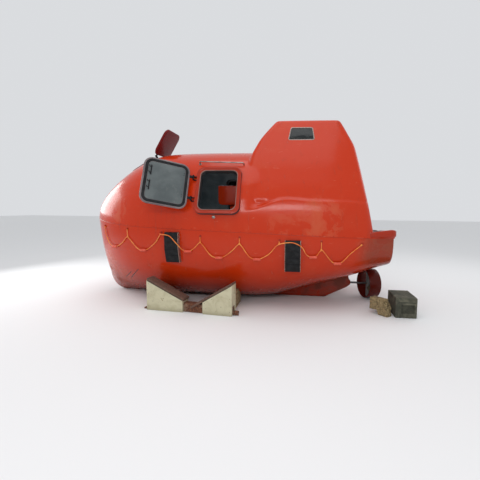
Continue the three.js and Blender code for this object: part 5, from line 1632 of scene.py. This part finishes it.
def build_timber():
    """The broken timber: splintered at one end, notched at its foot, worn along its grain."""
    timber = bare("broken_timber", box((-169, -61, 0.5), (149, 61, TIMBER_TOP), 5))
    moulded(timber, 5.5)
    for vertex in timber.data.vertices:
        x, y, z = vertex.co / MM
        grain = noise.noise(Vector((x * 0.004, y * 0.055, z * 0.055)))
        fibre = noise.noise(Vector((x * 0.01, y * 0.16, z * 0.16)))
        chunk = noise.noise(Vector((x * 0.006, y * 0.028 + 7, z * 0.022)))
        broken = 62 * z / TIMBER_TOP + abs(chunk) * 120 + abs(fibre) * 40
        if x > BREAK_START:
            into = clamp((x - BREAK_START) / 170, 0, 1)
            vertex.co.x -= into * broken * (0.25 + 0.75 * z / TIMBER_TOP) * MM
            vertex.co.y += into * chunk * 46 * (1 - abs(y) / 90) * MM
        if x < -130:
            vertex.co.x += clamp((-130 - x) / 40, 0, 1) * abs(fibre) * 16 * MM
        if z > WORN_FROM_Z:
            vertex.co.z -= clamp((z - WORN_FROM_Z) / (TIMBER_TOP - WORN_FROM_Z), 0, 1) * 22 * abs(chunk) * MM
        if z < NOTCH_TOP:
            vertex.co.z += (68 + 30 * chunk) * smoothstep(-x, 0, 45) * (1 - z / NOTCH_TOP) * MM
        if abs(y) > 52 or z > 225:
            vertex.co -= vertex.normal * (abs(grain) * 9 + abs(fibre) * 4) * MM
        vertex.co.z = max(vertex.co.z, 0.0005)
    carried(timber, Matrix.Translation((2376, -900, 0)) @ turned(-48, "Z"))
    settle(timber, stern_wood, stands_for="stern_timber", angle=60)


build_block()
build_timber()


# Floor, light and background
# Each lamp's name, place, target, width, height and power
LAMPS = [
    ("overhead", (0.5, -1.5, 8.0), (0.2, 0, 1.2), 7.0, 5.0, 155),
    ("front_strip", (0.8, -9.0, 4.4), (0.6, 0, 1.5), 5.0, 0.9, 140),
    ("bow_window", (-5.7, 0.5, 2.6), (-1.9, -0.6, 1.7), 3.6, 2.0, 112),
    ("stern_fill", (6.5, 2.5, 4.5), (1, 0, 1.5), 4.0, 3.0, 50),
    ("cabin_glow", (-0.35, 0.25, 2.38), (-0.3, 0.1, 0.8), 1.1, 0.7, 4.8),
]
FLOOR_REACH = 40


def studio():
    mesh = bpy.data.meshes.new("floor")
    corners = [(x * FLOOR_REACH, y * FLOOR_REACH, 0) for x, y in ((-1, -1), (1, -1), (1, 1), (-1, 1))]
    mesh.from_pydata(corners, [], [(0, 1, 2, 3)])
    pale = Finish("pale_floor", None, Base_Color=(0.80, 0.80, 0.80, 1), Roughness=0.9)
    mesh.materials.append(pale.material)
    linked("floor", mesh)
    world = bpy.data.worlds.new("studio")
    world.use_nodes = True
    background = world.node_tree.nodes["Background"]
    background.inputs["Color"].default_value = (0.95, 0.97, 1.0, 1)
    background.inputs["Strength"].default_value = 0.74
    bpy.context.scene.world = world
    for name, place, target, width, height, power in LAMPS:
        data = bpy.data.lights.new(name, "AREA")
        data.shape, data.size, data.size_y, data.energy = "RECTANGLE", width, height, power
        linked(name, data).matrix_world = facing(place, Vector(place) - Vector(target))
    bpy.context.scene.view_settings.view_transform = "Standard"


studio()
